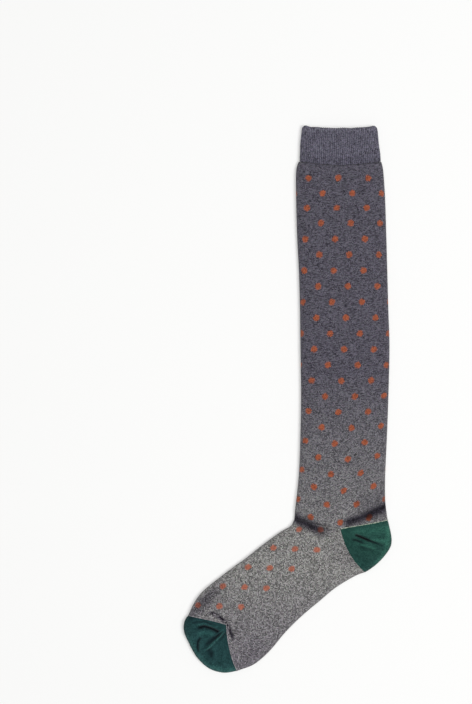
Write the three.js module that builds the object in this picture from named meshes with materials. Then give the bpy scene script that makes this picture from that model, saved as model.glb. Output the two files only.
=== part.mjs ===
// A knee-high knitted sock that lies flat on its side: ribbed cuff, leg, heel pocket, foot and toe pocket.
// Each piece is a hollow wall of knitted cloth. Together they are one open tube from the mouth to the toe.
//
// The sock is drawn in plan first. The plan's zero is the heel corner, the point in the middle of the flat
// tube where the leg, the heel and the foot meet. The leg runs up +Y from there, and the foot runs down to
// the left. A front edge is the shin and instep side, and a back edge is the calf and sole side.
import * as THREE from "three";

// Lengths across and along the flat sock, in millimetres.
const LEG_LENGTH = 380; // cuff seam to heel corner
const LEG_WIDTH = 93;
const LEG_RISE = 4.4; // how far the cuff seam's ends stand above its middle
const ANKLE_RISE = 8.6; // how far the leg's lower ends stand above the heel corner
const CUFF_HEIGHT = 40.5;
const CUFF_WIDTH = 84;
const MOUTH_RISE = 1.6; // how far the mouth's corners stand above its middle
const MOUTH_SETBACK = 1.6; // the upper layer's rim stops this far short of the lower layer's
const FOOT_BODY = 156.4; // heel corner to toe corner
const FOOT_WIDTH = 90;
const FOOT_SLOPE_DEG = 41.5; // the foot's line below level
const HEEL_DEPTH = 56.5; // heel corner to the fold behind the heel
const TOE_DEPTH = 46; // toe corner to the fold round the toes
const HEEL_BOW = 4.6; // how far the heel's seam bows into the foot
const TOE_BOW = 2.9; // how far the toe's seam bows towards the toes on the sole's side
const TOE_ARCH = 1.2; // how far the toe's seam arches the other way on the instep's side
const TOE_CORNER_SHIFT = 4; // how far the toe corner lies from the foot's line towards the instep

// Heights and thicknesses, in millimetres.
const LEG_LOFT = 10.4; // how high the flat tube stands in the middle
const CUFF_LOFT = 10.6;
const FOOT_LOFT = 12.2;
const TOE_LOFT = 11.4;
const KNIT_WALL = 1.4; // leg and foot
const POCKET_WALL = 1.7; // heel and toe, knitted with a second yarn
const CUFF_WALL = 2.1; // two layers, turned over at the mouth
const FOLD_HEIGHT = 2.6; // the level of the fold along every edge
const SHOULDER = 26; // from an edge to where the upper layer is level
const UNDER_CURL = 4.5; // from an edge to where the lower layer lies flat
const PIECE_GAP = 0.3; // clearance between neighbouring pieces

// The ribs of the cuff.
const RIB_PITCH = 2.1;
const RIB_RELIEF = 0.5;

const SAG_POWER = 1.8; // of the curve that the cuff's seam sags in

// Creases: the widest and the deepest one, which the table of creases takes shares of.
const CREASE_WIDTH = 5;
const CREASE_DEPTH = 3.4;

// Edges of the leg. down: share of the leg from the cuff seam. front, back: shares of half the leg's width.
const LEG_ROWS = [
  { down: 0, front: 0.93, back: 0.93 },
  { down: 0.012, front: 0.972, back: 0.957 },
  { down: 0.032, front: 0.994, back: 0.98 },
  { down: 0.1, front: 0.992, back: 1.016 },
  { down: 0.2, front: 0.971, back: 1.043 },
  { down: 0.31, front: 0.926, back: 1.068 },
  { down: 0.42, front: 0.903, back: 1.093 },
  { down: 0.51, front: 0.894, back: 1.116 },
  { down: 0.645, front: 0.881, back: 1.093 },
  { down: 0.756, front: 0.894, back: 1.061 },
  { down: 0.867, front: 0.926, back: 1.021 },
  { down: 0.922, front: 0.966, back: 1.014 },
  { down: 0.96, front: 1.004, back: 1.028 },
  { down: 1, front: 1.032, back: 1.073 },
];

// Edges of the cuff. up: share of the cuff from its seam. front, back: shares of half the cuff's width.
const CUFF_ROWS = [
  { up: 0, front: 1.01, back: 1.015 },
  { up: 0.2, front: 1.004, back: 1.007 },
  { up: 0.5, front: 0.994, back: 0.97 },
  { up: 0.8, front: 0.968, back: 0.945 },
  { up: 1, front: 0.945, back: 0.925 },
];

// Edges of the foot. along: share of the foot from the heel corner to the toe corner.
// instep, sole: shares of half the foot's width. The leads say how far towards the toe each end of a
// section lies from its middle, as shares of the foot's width.
const FOOT_ROWS = [
  { along: 0, instepLead: 0.336, instep: 0.85, soleLead: 0.12, sole: 1.164 },
  { along: 0.05, instepLead: 0.33, instep: 0.795, soleLead: 0.126, sole: 1.09 },
  { along: 0.12, instepLead: 0.324, instep: 0.842, soleLead: 0.135, sole: 1.027 },
  { along: 0.22, instepLead: 0.315, instep: 0.88, soleLead: 0.146, sole: 0.972 },
  { along: 0.33, instepLead: 0.304, instep: 0.905, soleLead: 0.159, sole: 0.962 },
  { along: 0.45, instepLead: 0.293, instep: 0.928, soleLead: 0.173, sole: 0.948 },
  { along: 0.55, instepLead: 0.284, instep: 0.962, soleLead: 0.186, sole: 0.956 },
  { along: 0.65, instepLead: 0.274, instep: 0.987, soleLead: 0.198, sole: 0.988 },
  { along: 0.75, instepLead: 0.265, instep: 1.008, soleLead: 0.213, sole: 1.05 },
  { along: 0.83, instepLead: 0.26, instep: 1.01, soleLead: 0.228, sole: 1.071 },
  { along: 0.91, instepLead: 0.262, instep: 0.953, soleLead: 0.246, sole: 1.045 },
  { along: 1, instepLead: 0.269, instep: 0.815, soleLead: 0.269, sole: 0.905 },
];

// Folds round the two pockets. sweep: share of the turn from the pocket's first edge to its last.
// reach: share of the pocket's depth.
const HEEL_ROWS = [
  { sweep: 0, reach: 0.9 },
  { sweep: 0.16, reach: 0.932 },
  { sweep: 0.345, reach: 0.988 },
  { sweep: 0.43, reach: 1 },
  { sweep: 0.588, reach: 0.978 },
  { sweep: 0.754, reach: 0.96 },
  { sweep: 1, reach: 0.95 },
];
const TOE_ROWS = [
  { sweep: 0, reach: 1 },
  { sweep: 0.09, reach: 0.996 },
  { sweep: 0.148, reach: 0.989 },
  { sweep: 0.227, reach: 0.974 },
  { sweep: 0.329, reach: 0.954 },
  { sweep: 0.441, reach: 0.976 },
  { sweep: 0.53, reach: 1.013 },
  { sweep: 0.618, reach: 1.05 },
  { sweep: 0.713, reach: 1.095 },
  { sweep: 0.8, reach: 1.121 },
  { sweep: 0.9, reach: 1.141 },
  { sweep: 1, reach: 1.12 },
];

// Creases and crests of the upper layer, each along a straight line between two places on one piece.
// A place is that piece's own pair of shares: down and across on the leg, along and across on the foot,
// and sweep and reach on the heel and the toe. width and depth: shares of the crease sizes above, where a
// depth below zero is a crest.
const CREASES = [
  { on: "leg", from: [0.985, -1], to: [0.998, -0.34], width: 0.8, depth: 1 },
  { on: "leg", from: [0.962, 0.98], to: [0.984, 0.12], width: 1, depth: 0.5 },
  { on: "leg", from: [0.004, -0.95], to: [0.004, 0.95], width: 0.7, depth: 0.3 },
  { on: "heel", from: [0.36, 0.3], to: [0.35, 0.86], width: 0.7, depth: 0.62 },
  { on: "heel", from: [0.62, 0.3], to: [0.46, 0.7], width: 0.7, depth: 0.42 },
  { on: "heel", from: [0.2, 0.42], to: [0.24, 0.9], width: 0.9, depth: -0.2 },
  { on: "foot", from: [0.06, -0.9], to: [0.1, -0.2], width: 1, depth: -0.25 },
  { on: "foot", from: [0.93, -0.42], to: [0.97, 0.24], width: 0.7, depth: 0.4 },
  { on: "toe", from: [0.12, 0.5], to: [0.02, 0.14], width: 0.7, depth: 0.62 },
  { on: "toe", from: [0.36, 0.72], to: [0.5, 0.8], width: 0.7, depth: 0.5 },
  { on: "toe", from: [0.5, 0.25], to: [0.54, 0.62], width: 0.9, depth: 0.45 },
];

// How finely each piece is divided.
const LEG_STEPS = [
  0, 0.004, 0.012, 0.03, 0.06, 0.12, 0.2, 0.3, 0.42, 0.52, 0.645, 0.756, 0.84, 0.89, 0.92, 0.94, 0.955, 0.967,
  0.977, 0.985, 0.993, 1,
];
const FOOT_STEPS = [
  0, 0.025, 0.05, 0.08, 0.12, 0.17, 0.24, 0.33, 0.43, 0.54, 0.65, 0.74, 0.81, 0.87, 0.91, 0.94, 0.97, 1,
];
const UPPER_STEPS = [0.14, 0.28, 0.42, 0.56, 0.7, 0.82, 0.91, 0.965, 0.993]; // middle to edge
const LOWER_STEPS = [0.28, 0.56, 0.82, 0.91, 0.965, 0.993]; // middle to edge
const HEEL_SPOKES = 14;
const TOE_SPOKES = 22;
const CUFF_ROWS_UP = 4;
const RIM_SHARE = 0.035; // of the cuff's height, taken by the rounded rim
const EDGE_SAMPLES = 60; // points along each edge that distances are measured to

const YARN = { grey: 0x5c5b62, green: 0x2b5148 };
const KNIT_ROUGHNESS = 0.95;

const { cos, sin, abs, sqrt, min, max, hypot, atan2, PI, round } = Math;
const mix = THREE.MathUtils.lerp;
const smoothstep = THREE.MathUtils.smoothstep;
const point = (x, y) => new THREE.Vector2(x, y);

// A smooth curve through one column of a table, read at a share.
function follow(rows, key, column, at) {
  const last = rows.length - 1;
  let i = 0;
  while (i < last - 1 && at > rows[i + 1][key]) i++;
  const slope = (j) => {
    const [a, b] = [rows[max(j - 1, 0)], rows[min(j + 1, last)]];
    return (b[column] - a[column]) / (b[key] - a[key]);
  };
  const [a, b] = [rows[i], rows[i + 1]];
  const span = b[key] - a[key];
  const t = (at - a[key]) / span;
  const [t2, t3] = [t * t, t * t * t];
  return (
    a[column] * (2 * t3 - 3 * t2 + 1) +
    slope(i) * span * (t3 - 2 * t2 + t) +
    b[column] * (3 * t2 - 2 * t3) +
    slope(i + 1) * span * (t3 - t2)
  );
}

// Places in plan. across runs from -1 at the front edge to 1 at the back edge. The rows of the knitting sag
// in a curve at the cuff and in a straight V at the ankle.
function legPlace(down, across) {
  const side = across < 0 ? "front" : "back";
  const half = (follow(LEG_ROWS, "down", side, down) * LEG_WIDTH) / 2;
  const ankle = smoothstep(down, 0.5, 1);
  const rise = mix(LEG_RISE, ANKLE_RISE, ankle) * abs(across) ** mix(SAG_POWER, 1, ankle);
  return point(across * half, LEG_LENGTH * (1 - down) + rise);
}

function cuffPlace(up, across) {
  const side = across < 0 ? "front" : "back";
  const half = (follow(CUFF_ROWS, "up", side, up) * CUFF_WIDTH) / 2;
  const rise = mix(LEG_RISE, MOUTH_RISE, up) * abs(across) ** SAG_POWER;
  return point(across * half, LEG_LENGTH + up * CUFF_HEIGHT + rise);
}

const footSlope = THREE.MathUtils.degToRad(FOOT_SLOPE_DEG);
const toToe = point(-cos(footSlope), -sin(footSlope));
const toSole = point(sin(footSlope), -cos(footSlope));
const onFoot = (along, across) => toToe.clone().multiplyScalar(along).addScaledVector(toSole, across);

// The foot starts where the leg's front edge ends.
const ankleFront = legPlace(1, -1);
FOOT_ROWS[0].instepLead = ankleFront.dot(toToe) / FOOT_WIDTH;
FOOT_ROWS[0].instep = -ankleFront.dot(toSole) / (FOOT_WIDTH / 2);

function footPlace(along, across) {
  const side = across < 0 ? "instep" : "sole";
  const lead = follow(FOOT_ROWS, "along", side + "Lead", along) * FOOT_WIDTH;
  const half = (follow(FOOT_ROWS, "along", side, along) * FOOT_WIDTH) / 2;
  const out = abs(across);
  const bow = across < 0 ? mix(0, -TOE_ARCH, along) : mix(HEEL_BOW, TOE_BOW, along);
  const shift = TOE_CORNER_SHIFT * along * (1 - out);
  return onFoot(along * FOOT_BODY + out * lead + bow * 4 * out * (1 - out), across * half - shift);
}

// A pocket is a fan about its corner. It turns from its first edge to its last, and keeps half of a gap from
// the pieces that it shares them with. An edge gives a place for each reach, from 0 at the corner to 1.
function pocket(firstEdge, lastEdge, turnsLeft, depth, rows) {
  const corner = firstEdge(0);
  const from = firstEdge(1).sub(corner);
  const to = lastEdge(1).sub(corner);
  const start = atan2(from.y, from.x);
  let turn = atan2(to.y, to.x) - start;
  if (turn > 0 !== turnsLeft) turn += turn > 0 ? -2 * PI : 2 * PI;
  const clearance = PIECE_GAP / 2 / sin(abs(turn) / 2);
  const shift = point(cos(start + turn / 2), sin(start + turn / 2)).multiplyScalar(clearance);
  const bend = (edge, end, reach) => edge(reach).sub(corner).addScaledVector(end, -reach);
  return (sweep, reach) => {
    const hold = 1 - abs(2 * sweep - 1) ** 4;
    const own = depth * follow(rows, "sweep", "reach", sweep);
    const length = mix(mix(from.length(), to.length(), sweep), own, hold) * reach;
    const angle = start + turn * sweep;
    return point(length * cos(angle), length * sin(angle))
      .add(corner)
      .add(shift)
      .addScaledVector(bend(firstEdge, from, reach), (1 - sweep) ** 2)
      .addScaledVector(bend(lastEdge, to, reach), sweep ** 2);
  };
}

const heelPlace = pocket(
  (reach) => legPlace(1, reach),
  (reach) => footPlace(0, reach),
  false,
  HEEL_DEPTH,
  HEEL_ROWS,
);
const toePlace = pocket(
  (reach) => footPlace(1, -reach),
  (reach) => footPlace(1, reach),
  true,
  TOE_DEPTH,
  TOE_ROWS,
);
const places = { leg: legPlace, foot: footPlace, heel: heelPlace, toe: toePlace };

// The sock's folded edge in plan, from the mouth's front corner round the toe to the mouth's back corner.
const samples = Array.from({ length: EDGE_SAMPLES + 1 }, (_, i) => i / EDGE_SAMPLES);
const foldedEdge = [
  ...samples.map((s) => cuffPlace(1 - s, -1)),
  ...samples.map((s) => legPlace(s, -1)),
  ...samples.map((s) => footPlace(s, -1)),
  ...samples.map((s) => toePlace(s, 1)),
  ...samples.map((s) => footPlace(1 - s, 1)),
  ...samples.map((s) => heelPlace(1 - s, 1)),
  ...samples.map((s) => legPlace(1 - s, 1)),
  ...samples.map((s) => cuffPlace(s, 1)),
];

function distanceToSegment(p, a, b) {
  const [dx, dy] = [b.x - a.x, b.y - a.y];
  const span = dx * dx + dy * dy;
  const t = span ? min(max(((p.x - a.x) * dx + (p.y - a.y) * dy) / span, 0), 1) : 0;
  return hypot(p.x - a.x - t * dx, p.y - a.y - t * dy);
}

function distanceToEdge(p) {
  let nearest = Infinity;
  for (let i = 1; i < foldedEdge.length; i++)
    nearest = min(nearest, distanceToSegment(p, foldedEdge[i - 1], foldedEdge[i]));
  return nearest;
}

// How deep the creases press the upper layer down at a place.
const creases = CREASES.map(({ on, from, to, width, depth }) => ({
  a: places[on](...from),
  b: places[on](...to),
  width: width * CREASE_WIDTH,
  depth: depth * CREASE_DEPTH,
}));

function creaseAt(p) {
  return creases.reduce((sum, c) => {
    const away = distanceToSegment(p, c.a, c.b) / c.width;
    return sum + c.depth * Math.exp(-away * away);
  }, 0);
}

// How high the sock stands in its middle: the cuff's, the leg's, the foot's and the toe's loft, blended.
function loftAt(p) {
  const cuff = smoothstep(p.y, LEG_LENGTH - 0.1 * CUFF_HEIGHT, LEG_LENGTH + 0.1 * CUFF_HEIGHT);
  const foot = smoothstep(LEG_WIDTH / 2 - p.y, 0, LEG_WIDTH);
  const toe = smoothstep(p.dot(toToe), 0.8 * FOOT_BODY, FOOT_BODY + 0.4 * TOE_DEPTH);
  return mix(mix(mix(LEG_LOFT, CUFF_LOFT, cuff), FOOT_LOFT, foot), TOE_LOFT, toe);
}

// A quarter-round rise: 0 at an edge, 1 where the layer is level.
const swell = (share, power) => sqrt(max(0, 1 - (1 - min(max(share, 0), 1)) ** power));
const UPPER_POWER = 2.2;

// The height of a layer's skin. inset is 0 on the outer skin and the wall's thickness on the inner skin, and
// start is how far from the folded edge the skin turns from the one layer into the other.
function upperHeight(p, inset, start) {
  const rise = swell((distanceToEdge(p) - start) / (SHOULDER - start), UPPER_POWER);
  return FOLD_HEIGHT + (loftAt(p) - inset - FOLD_HEIGHT - creaseAt(p)) * rise;
}

function lowerHeight(p, inset, start) {
  const rise = swell((distanceToEdge(p) - start) / (UNDER_CURL - start), 2);
  return FOLD_HEIGHT - (FOLD_HEIGHT - inset) * rise;
}

// One skin's closed section round the tube: over the upper layer from front to back, and back under it.
const mirrored = (steps) => [...steps.map((s) => -s).reverse(), 0, ...steps];
const UPPER_ACROSS = [-1, ...mirrored(UPPER_STEPS), 1];
const LOWER_ACROSS = mirrored(LOWER_STEPS).reverse();

function sectionRing(place, inset) {
  const middle = place(0);
  const sides = [-1, 1].map((side) => {
    const share = 1 - inset / place(side).distanceTo(middle);
    return { share, start: distanceToEdge(place(side * share)) };
  });
  const at = (across, height) => {
    const { share, start } = sides[across < 0 ? 0 : 1];
    const p = place(across * share);
    return new THREE.Vector3(p.x, p.y, height(p, inset, start));
  };
  return [
    ...UPPER_ACROSS.map((across) => at(across, upperHeight)),
    ...LOWER_ACROSS.map((across) => at(across, lowerHeight)),
  ];
}

// How far round a section each of its points lies, and the whole way round at the end.
function ringLengths(ring) {
  const lengths = [0];
  ring.forEach((p, i) => lengths.push(lengths[i] + p.distanceTo(ring[(i + 1) % ring.length])));
  return lengths;
}

const ringLength = (ring) => ringLengths(ring).at(-1);

// A section drawn again with points spaced evenly round it.
function evenRing(ring, count) {
  const lengths = ringLengths(ring);
  let i = 0;
  return Array.from({ length: count }, (_, n) => {
    const along = (lengths.at(-1) * n) / count;
    while (lengths[i + 1] < along) i++;
    const share = (along - lengths[i]) / (lengths[i + 1] - lengths[i]);
    return ring[i].clone().lerp(ring[(i + 1) % ring.length], share);
  });
}

// The volume inside a closed surface, below zero where its faces point inwards.
function enclosedVolume(positions, triangles) {
  const corner = (n) => new THREE.Vector3().fromArray(positions, 3 * n);
  let volume = 0;
  for (let t = 0; t < triangles.length; t += 3) {
    const [a, b, c] = [0, 1, 2].map((n) => corner(triangles[t + n]));
    volume += a.dot(b.cross(c)) / 6;
  }
  return volume;
}

// A closed solid from rows of points. Each row is a loop. Rows close on each other, or end in strips that
// join a row's first half, the outer skin, to its second half, the inner skin.
function solidFrom(rows, closesOnItself) {
  const numbers = new Map();
  const positions = [];
  const triangles = [];
  const number = (p) => {
    const key = [p.x, p.y, p.z].map((v) => round(v * 1e4)).join();
    if (!numbers.has(key)) {
      numbers.set(key, positions.length / 3);
      positions.push(p.x, p.y, p.z);
    }
    return numbers.get(key);
  };
  const triangle = (a, b, c) => {
    if (a !== b && b !== c && c !== a) triangles.push(a, b, c);
  };
  const quad = (a, b, c, d) => {
    const corners = [a, b, c, d].map(number);
    triangle(corners[0], corners[1], corners[2]);
    triangle(corners[0], corners[2], corners[3]);
  };
  const size = rows[0].length;
  const bands = closesOnItself ? rows.length : rows.length - 1;
  for (let r = 0; r < bands; r++) {
    const [near, far] = [rows[r], rows[(r + 1) % rows.length]];
    for (let i = 0; i < size; i++) {
      const j = (i + 1) % size;
      quad(near[i], near[j], far[j], far[i]);
    }
  }
  if (!closesOnItself)
    for (let i = 0; i < size / 2 - 1; i++) {
      const [first, last] = [rows[0], rows[rows.length - 1]];
      const [k, l] = [size - 1 - i, size - 2 - i];
      quad(first[k], first[l], first[i + 1], first[i]);
      quad(last[i], last[i + 1], last[l], last[k]);
    }
  if (enclosedVolume(positions, triangles) < 0) triangles.reverse();
  const geometry = new THREE.BufferGeometry();
  geometry.setAttribute("position", new THREE.Float32BufferAttribute(positions, 3));
  geometry.setIndex(triangles);
  return geometry;
}

// A tube's wall: the outer skin from its first section to its last, and the inner skin back again.
function tube(sections, wall) {
  const outer = sections.map((place) => sectionRing(place, 0));
  const inner = sections.map((place) => sectionRing(place, wall));
  return solidFrom([...outer, ...inner.reverse()], true);
}

function legGeometry() {
  const gap = PIECE_GAP / 2 / LEG_LENGTH;
  const sections = LEG_STEPS.map((step) => (across) => legPlace(mix(gap, 1 - gap, step), across));
  return tube(sections, KNIT_WALL);
}

function footGeometry() {
  const gap = PIECE_GAP / 2 / FOOT_BODY;
  const sections = FOOT_STEPS.map((step) => (across) => footPlace(mix(gap, 1 - gap, step), across));
  return tube(sections, KNIT_WALL);
}

// The mouth's upper layer stops short of its lower one, so the rim steps back with height.
function setBack(ring, up) {
  const reach = MOUTH_SETBACK * smoothstep(up, 0.5, 1);
  return ring.map((p) => p.clone().setY(p.y - reach * smoothstep(p.z, 0, CUFF_LOFT)));
}

// The cuff's ribs stand on its outer skin: every second point of a section is pressed in.
function cuffGeometry() {
  const ringAt = (up, inset) => sectionRing((across) => cuffPlace(up, across), inset);
  const seam = ringAt(0, 0);
  const count = 2 * round(ringLength(seam) / RIB_PITCH);
  const even = (up, inset) => setBack(evenRing(ringAt(up, inset), count), up);
  const ribbed = (up) => {
    const furrows = even(up, RIB_RELIEF);
    return even(up, 0).map((crest, i) => (i % 2 ? furrows[i] : crest));
  };
  const first = PIECE_GAP / 2 / CUFF_HEIGHT;
  const ups = Array.from({ length: CUFF_ROWS_UP + 1 }, (_, i) => mix(first, 1 - RIM_SHARE, i / CUFF_ROWS_UP));
  const outer = ups.map(ribbed);
  const rim = even(1, CUFF_WALL / 2);
  const inner = ups.map((up) => even(up, CUFF_WALL));
  return solidFrom([...outer, rim, ...inner.reverse()], true);
}

// A pocket's wall. Each spoke is a section of the wall, out over the upper layer and back under it.
function pocketGeometry(place, spokes, wall) {
  const rows = Array.from({ length: spokes + 1 }, (_, n) => {
    const sweep = n / spokes;
    const length = place(sweep, 1).distanceTo(place(sweep, 0));
    const skin = (inset) => {
      const share = 1 - inset / length;
      const start = distanceToEdge(place(sweep, share));
      const at = (reach, height) => {
        const p = place(sweep, reach * share);
        return new THREE.Vector3(p.x, p.y, height(p, inset, start));
      };
      return [
        ...[0, ...UPPER_STEPS, 1].map((reach) => at(reach, upperHeight)),
        ...[0, ...LOWER_STEPS].map((reach) => at(reach, lowerHeight)).reverse(),
      ];
    };
    return [...skin(0), ...skin(wall).reverse()];
  });
  return solidFrom(rows, false);
}

function mesh(name, geometry, color) {
  geometry.computeVertexNormals();
  const material = new THREE.MeshStandardMaterial({ color, roughness: KNIT_ROUGHNESS, metalness: 0 });
  const made = new THREE.Mesh(geometry, material);
  made.name = name;
  return made;
}

const sock = new THREE.Group();
sock.add(
  mesh("cuff", cuffGeometry(), YARN.grey),
  mesh("leg", legGeometry(), YARN.grey),
  mesh("heel", pocketGeometry(heelPlace, HEEL_SPOKES, POCKET_WALL), YARN.green),
  mesh("foot", footGeometry(), YARN.grey),
  mesh("toe", pocketGeometry(toePlace, TOE_SPOKES, POCKET_WALL), YARN.green),
);

// The origin is under the middle of the sock, on the surface that it lies on.
const box = new THREE.Box3().setFromObject(sock);
const middle = box.getCenter(new THREE.Vector3());
sock.position.set(-middle.x, -middle.y, -box.min.z);

export default sock;
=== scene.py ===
"""Dresses a knee-high knitted sock that lies flat: ribs, plain knit, dots, seams and folds."""

import logging
import math
from dataclasses import dataclass
from enum import Enum
from typing import Callable, NamedTuple, Optional, Sequence

import bmesh
import bpy
import numpy as np
from bpy.types import ID, Material, Node, NodeSocket, NodeTree, Object
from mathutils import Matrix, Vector


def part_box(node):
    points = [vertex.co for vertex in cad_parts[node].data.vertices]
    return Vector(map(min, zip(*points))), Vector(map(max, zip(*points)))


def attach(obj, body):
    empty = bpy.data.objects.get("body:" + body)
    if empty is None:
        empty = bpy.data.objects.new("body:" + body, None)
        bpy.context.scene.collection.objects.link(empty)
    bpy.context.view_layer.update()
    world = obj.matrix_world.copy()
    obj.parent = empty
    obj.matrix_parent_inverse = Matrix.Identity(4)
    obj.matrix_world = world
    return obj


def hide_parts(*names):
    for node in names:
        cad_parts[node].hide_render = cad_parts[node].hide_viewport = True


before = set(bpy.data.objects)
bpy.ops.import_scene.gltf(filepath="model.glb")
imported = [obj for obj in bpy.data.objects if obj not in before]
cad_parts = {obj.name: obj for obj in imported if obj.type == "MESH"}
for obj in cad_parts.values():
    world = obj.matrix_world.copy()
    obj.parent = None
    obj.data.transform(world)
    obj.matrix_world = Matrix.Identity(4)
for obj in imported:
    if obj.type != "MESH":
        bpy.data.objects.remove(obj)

LOG = logging.getLogger("sock")
MM = 0.001
Array = np.ndarray
Place = Callable[[Array], Array]
Colour = tuple[float, float, float]
ALL = slice(None)
BACKWARDS = slice(None, None, -1)

# What makes a yarn's tone uneven: sockets of its node group and, in small letters, fields of Yarn.
SWINGS = ("Stitch", "Marl", "Rows", "Columns", "Fibre", "Cloud")
# How squarely a crease falls off to its sides.
CREASE_POWER = 2.4
# Just below 0, so that a crease which doesn't fade is whole up to its end.
BEFORE_END = -1e-6
# How evenly a skin's points lie before they close up towards the fold.
EVEN_SHARE = 0.45
# How many places are measured against the sock's edge at a time.
BATCH = 8192


class Layer(Enum):
    """The two layers of cloth that the flat tube lies in."""

    UPPER = "upper"
    LOWER = "lower"


class EdgeRow(NamedTuple):
    """Where the edges of the leg or cuff run. along: share of it, from the seam between the two.

    front and back are shares of half its width.
    """

    along: float
    front: float
    back: float


class FootRow(NamedTuple):
    """A section of the foot. The leads are shares of its width, instep and sole of half its width."""

    along: float
    instep_lead: float
    instep: float
    sole_lead: float
    sole: float


class PocketRow(NamedTuple):
    """The fold round a pocket. sweep: share of its turn. reach: share of its depth."""

    sweep: float
    reach: float


def table(kind: type, *rows: tuple) -> tuple:
    """Makes a record of one kind from each row."""
    return tuple(kind(*row) for row in rows)


LEG_ROWS = table(
    EdgeRow,
    (0, 0.93, 0.93), (0.012, 0.972, 0.957), (0.032, 0.994, 0.98), (0.1, 0.992, 1.016),
    (0.2, 0.971, 1.043), (0.31, 0.926, 1.068), (0.42, 0.903, 1.093), (0.51, 0.894, 1.116),
    (0.645, 0.881, 1.093), (0.756, 0.894, 1.061), (0.867, 0.926, 1.021), (0.922, 0.966, 1.014),
    (0.96, 1.004, 1.028), (1, 1.032, 1.073),
)
CUFF_ROWS = table(
    EdgeRow,
    (0, 1.01, 1.015), (0.2, 1.004, 1.007), (0.5, 0.994, 0.97), (0.8, 0.968, 0.945),
    (1, 0.945, 0.925),
)
FOOT_ROWS = table(
    FootRow,
    (0, 0.336, 0.85, 0.12, 1.164), (0.05, 0.33, 0.795, 0.126, 1.09),
    (0.12, 0.324, 0.842, 0.135, 1.027), (0.22, 0.315, 0.88, 0.146, 0.972),
    (0.33, 0.304, 0.905, 0.159, 0.962), (0.45, 0.293, 0.928, 0.173, 0.948),
    (0.55, 0.284, 0.962, 0.186, 0.956), (0.65, 0.274, 0.987, 0.198, 0.988),
    (0.75, 0.265, 1.008, 0.213, 1.05), (0.83, 0.26, 1.01, 0.228, 1.071),
    (0.91, 0.262, 0.953, 0.246, 1.045), (1, 0.269, 0.815, 0.269, 0.905),
)
HEEL_ROWS = table(
    PocketRow,
    (0, 0.9), (0.16, 0.932), (0.345, 0.988), (0.43, 1), (0.588, 0.978), (0.754, 0.96), (1, 0.95),
)
TOE_ROWS = table(
    PocketRow,
    (0, 1), (0.09, 0.996), (0.148, 0.989), (0.227, 0.974), (0.329, 0.954), (0.441, 0.976),
    (0.53, 1.013), (0.618, 1.05), (0.713, 1.095), (0.8, 1.121), (0.9, 1.141), (1, 1.12),
)


@dataclass(frozen=True)
class Crease:
    """A line pressed into the upper layer, or raised from it where depth is below zero.

    path is in the plan, in millimetres from the heel corner. left and right say how far the crease
    spreads to each side of its path, and starts and ends say how much of it fades at each end.
    painted_shade is shade painted into the cloth's colour on it, or a painted highlight where it is
    below zero.
    """

    path: tuple[tuple[float, float], ...]
    depth: float
    left: float
    right: float
    starts: float
    ends: float
    painted_shade: float

    def profile(self, places: Array) -> Array:
        """Gives the crease's strength at places in the plan.

        Args:
            places: plan places, an array whose last axis is x and y.

        Returns:
            From 0, away from the crease, to 1 on it.
        """
        path = np.array(self.path, float)
        spans = np.diff(path, axis=0)
        lengths = np.linalg.norm(spans, axis=1)
        before = np.concatenate([[0], np.cumsum(lengths)])
        nearest = np.full(places.shape[:-1], np.inf)
        side = np.zeros(places.shape[:-1])
        along = np.zeros(places.shape[:-1])
        for start, span, length, passed in zip(path, spans, lengths, before):
            away = places - start
            share = np.clip((away @ span) / length**2, 0, 1)
            distance = np.linalg.norm(away - share[..., None] * span, axis=-1)
            closer = distance < nearest
            nearest = np.where(closer, distance, nearest)
            cross = span[0] * away[..., 1] - span[1] * away[..., 0]
            side = np.where(closer, cross, side)
            along = np.where(closer, (passed + share * length) / before[-1], along)
        breadth = np.where(side > 0, self.left, self.right)
        fade = smoothstep(along, BEFORE_END, self.starts) * smoothstep(1 - along, BEFORE_END, self.ends)
        return np.exp(-((nearest / breadth) ** CREASE_POWER)) * fade
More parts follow.
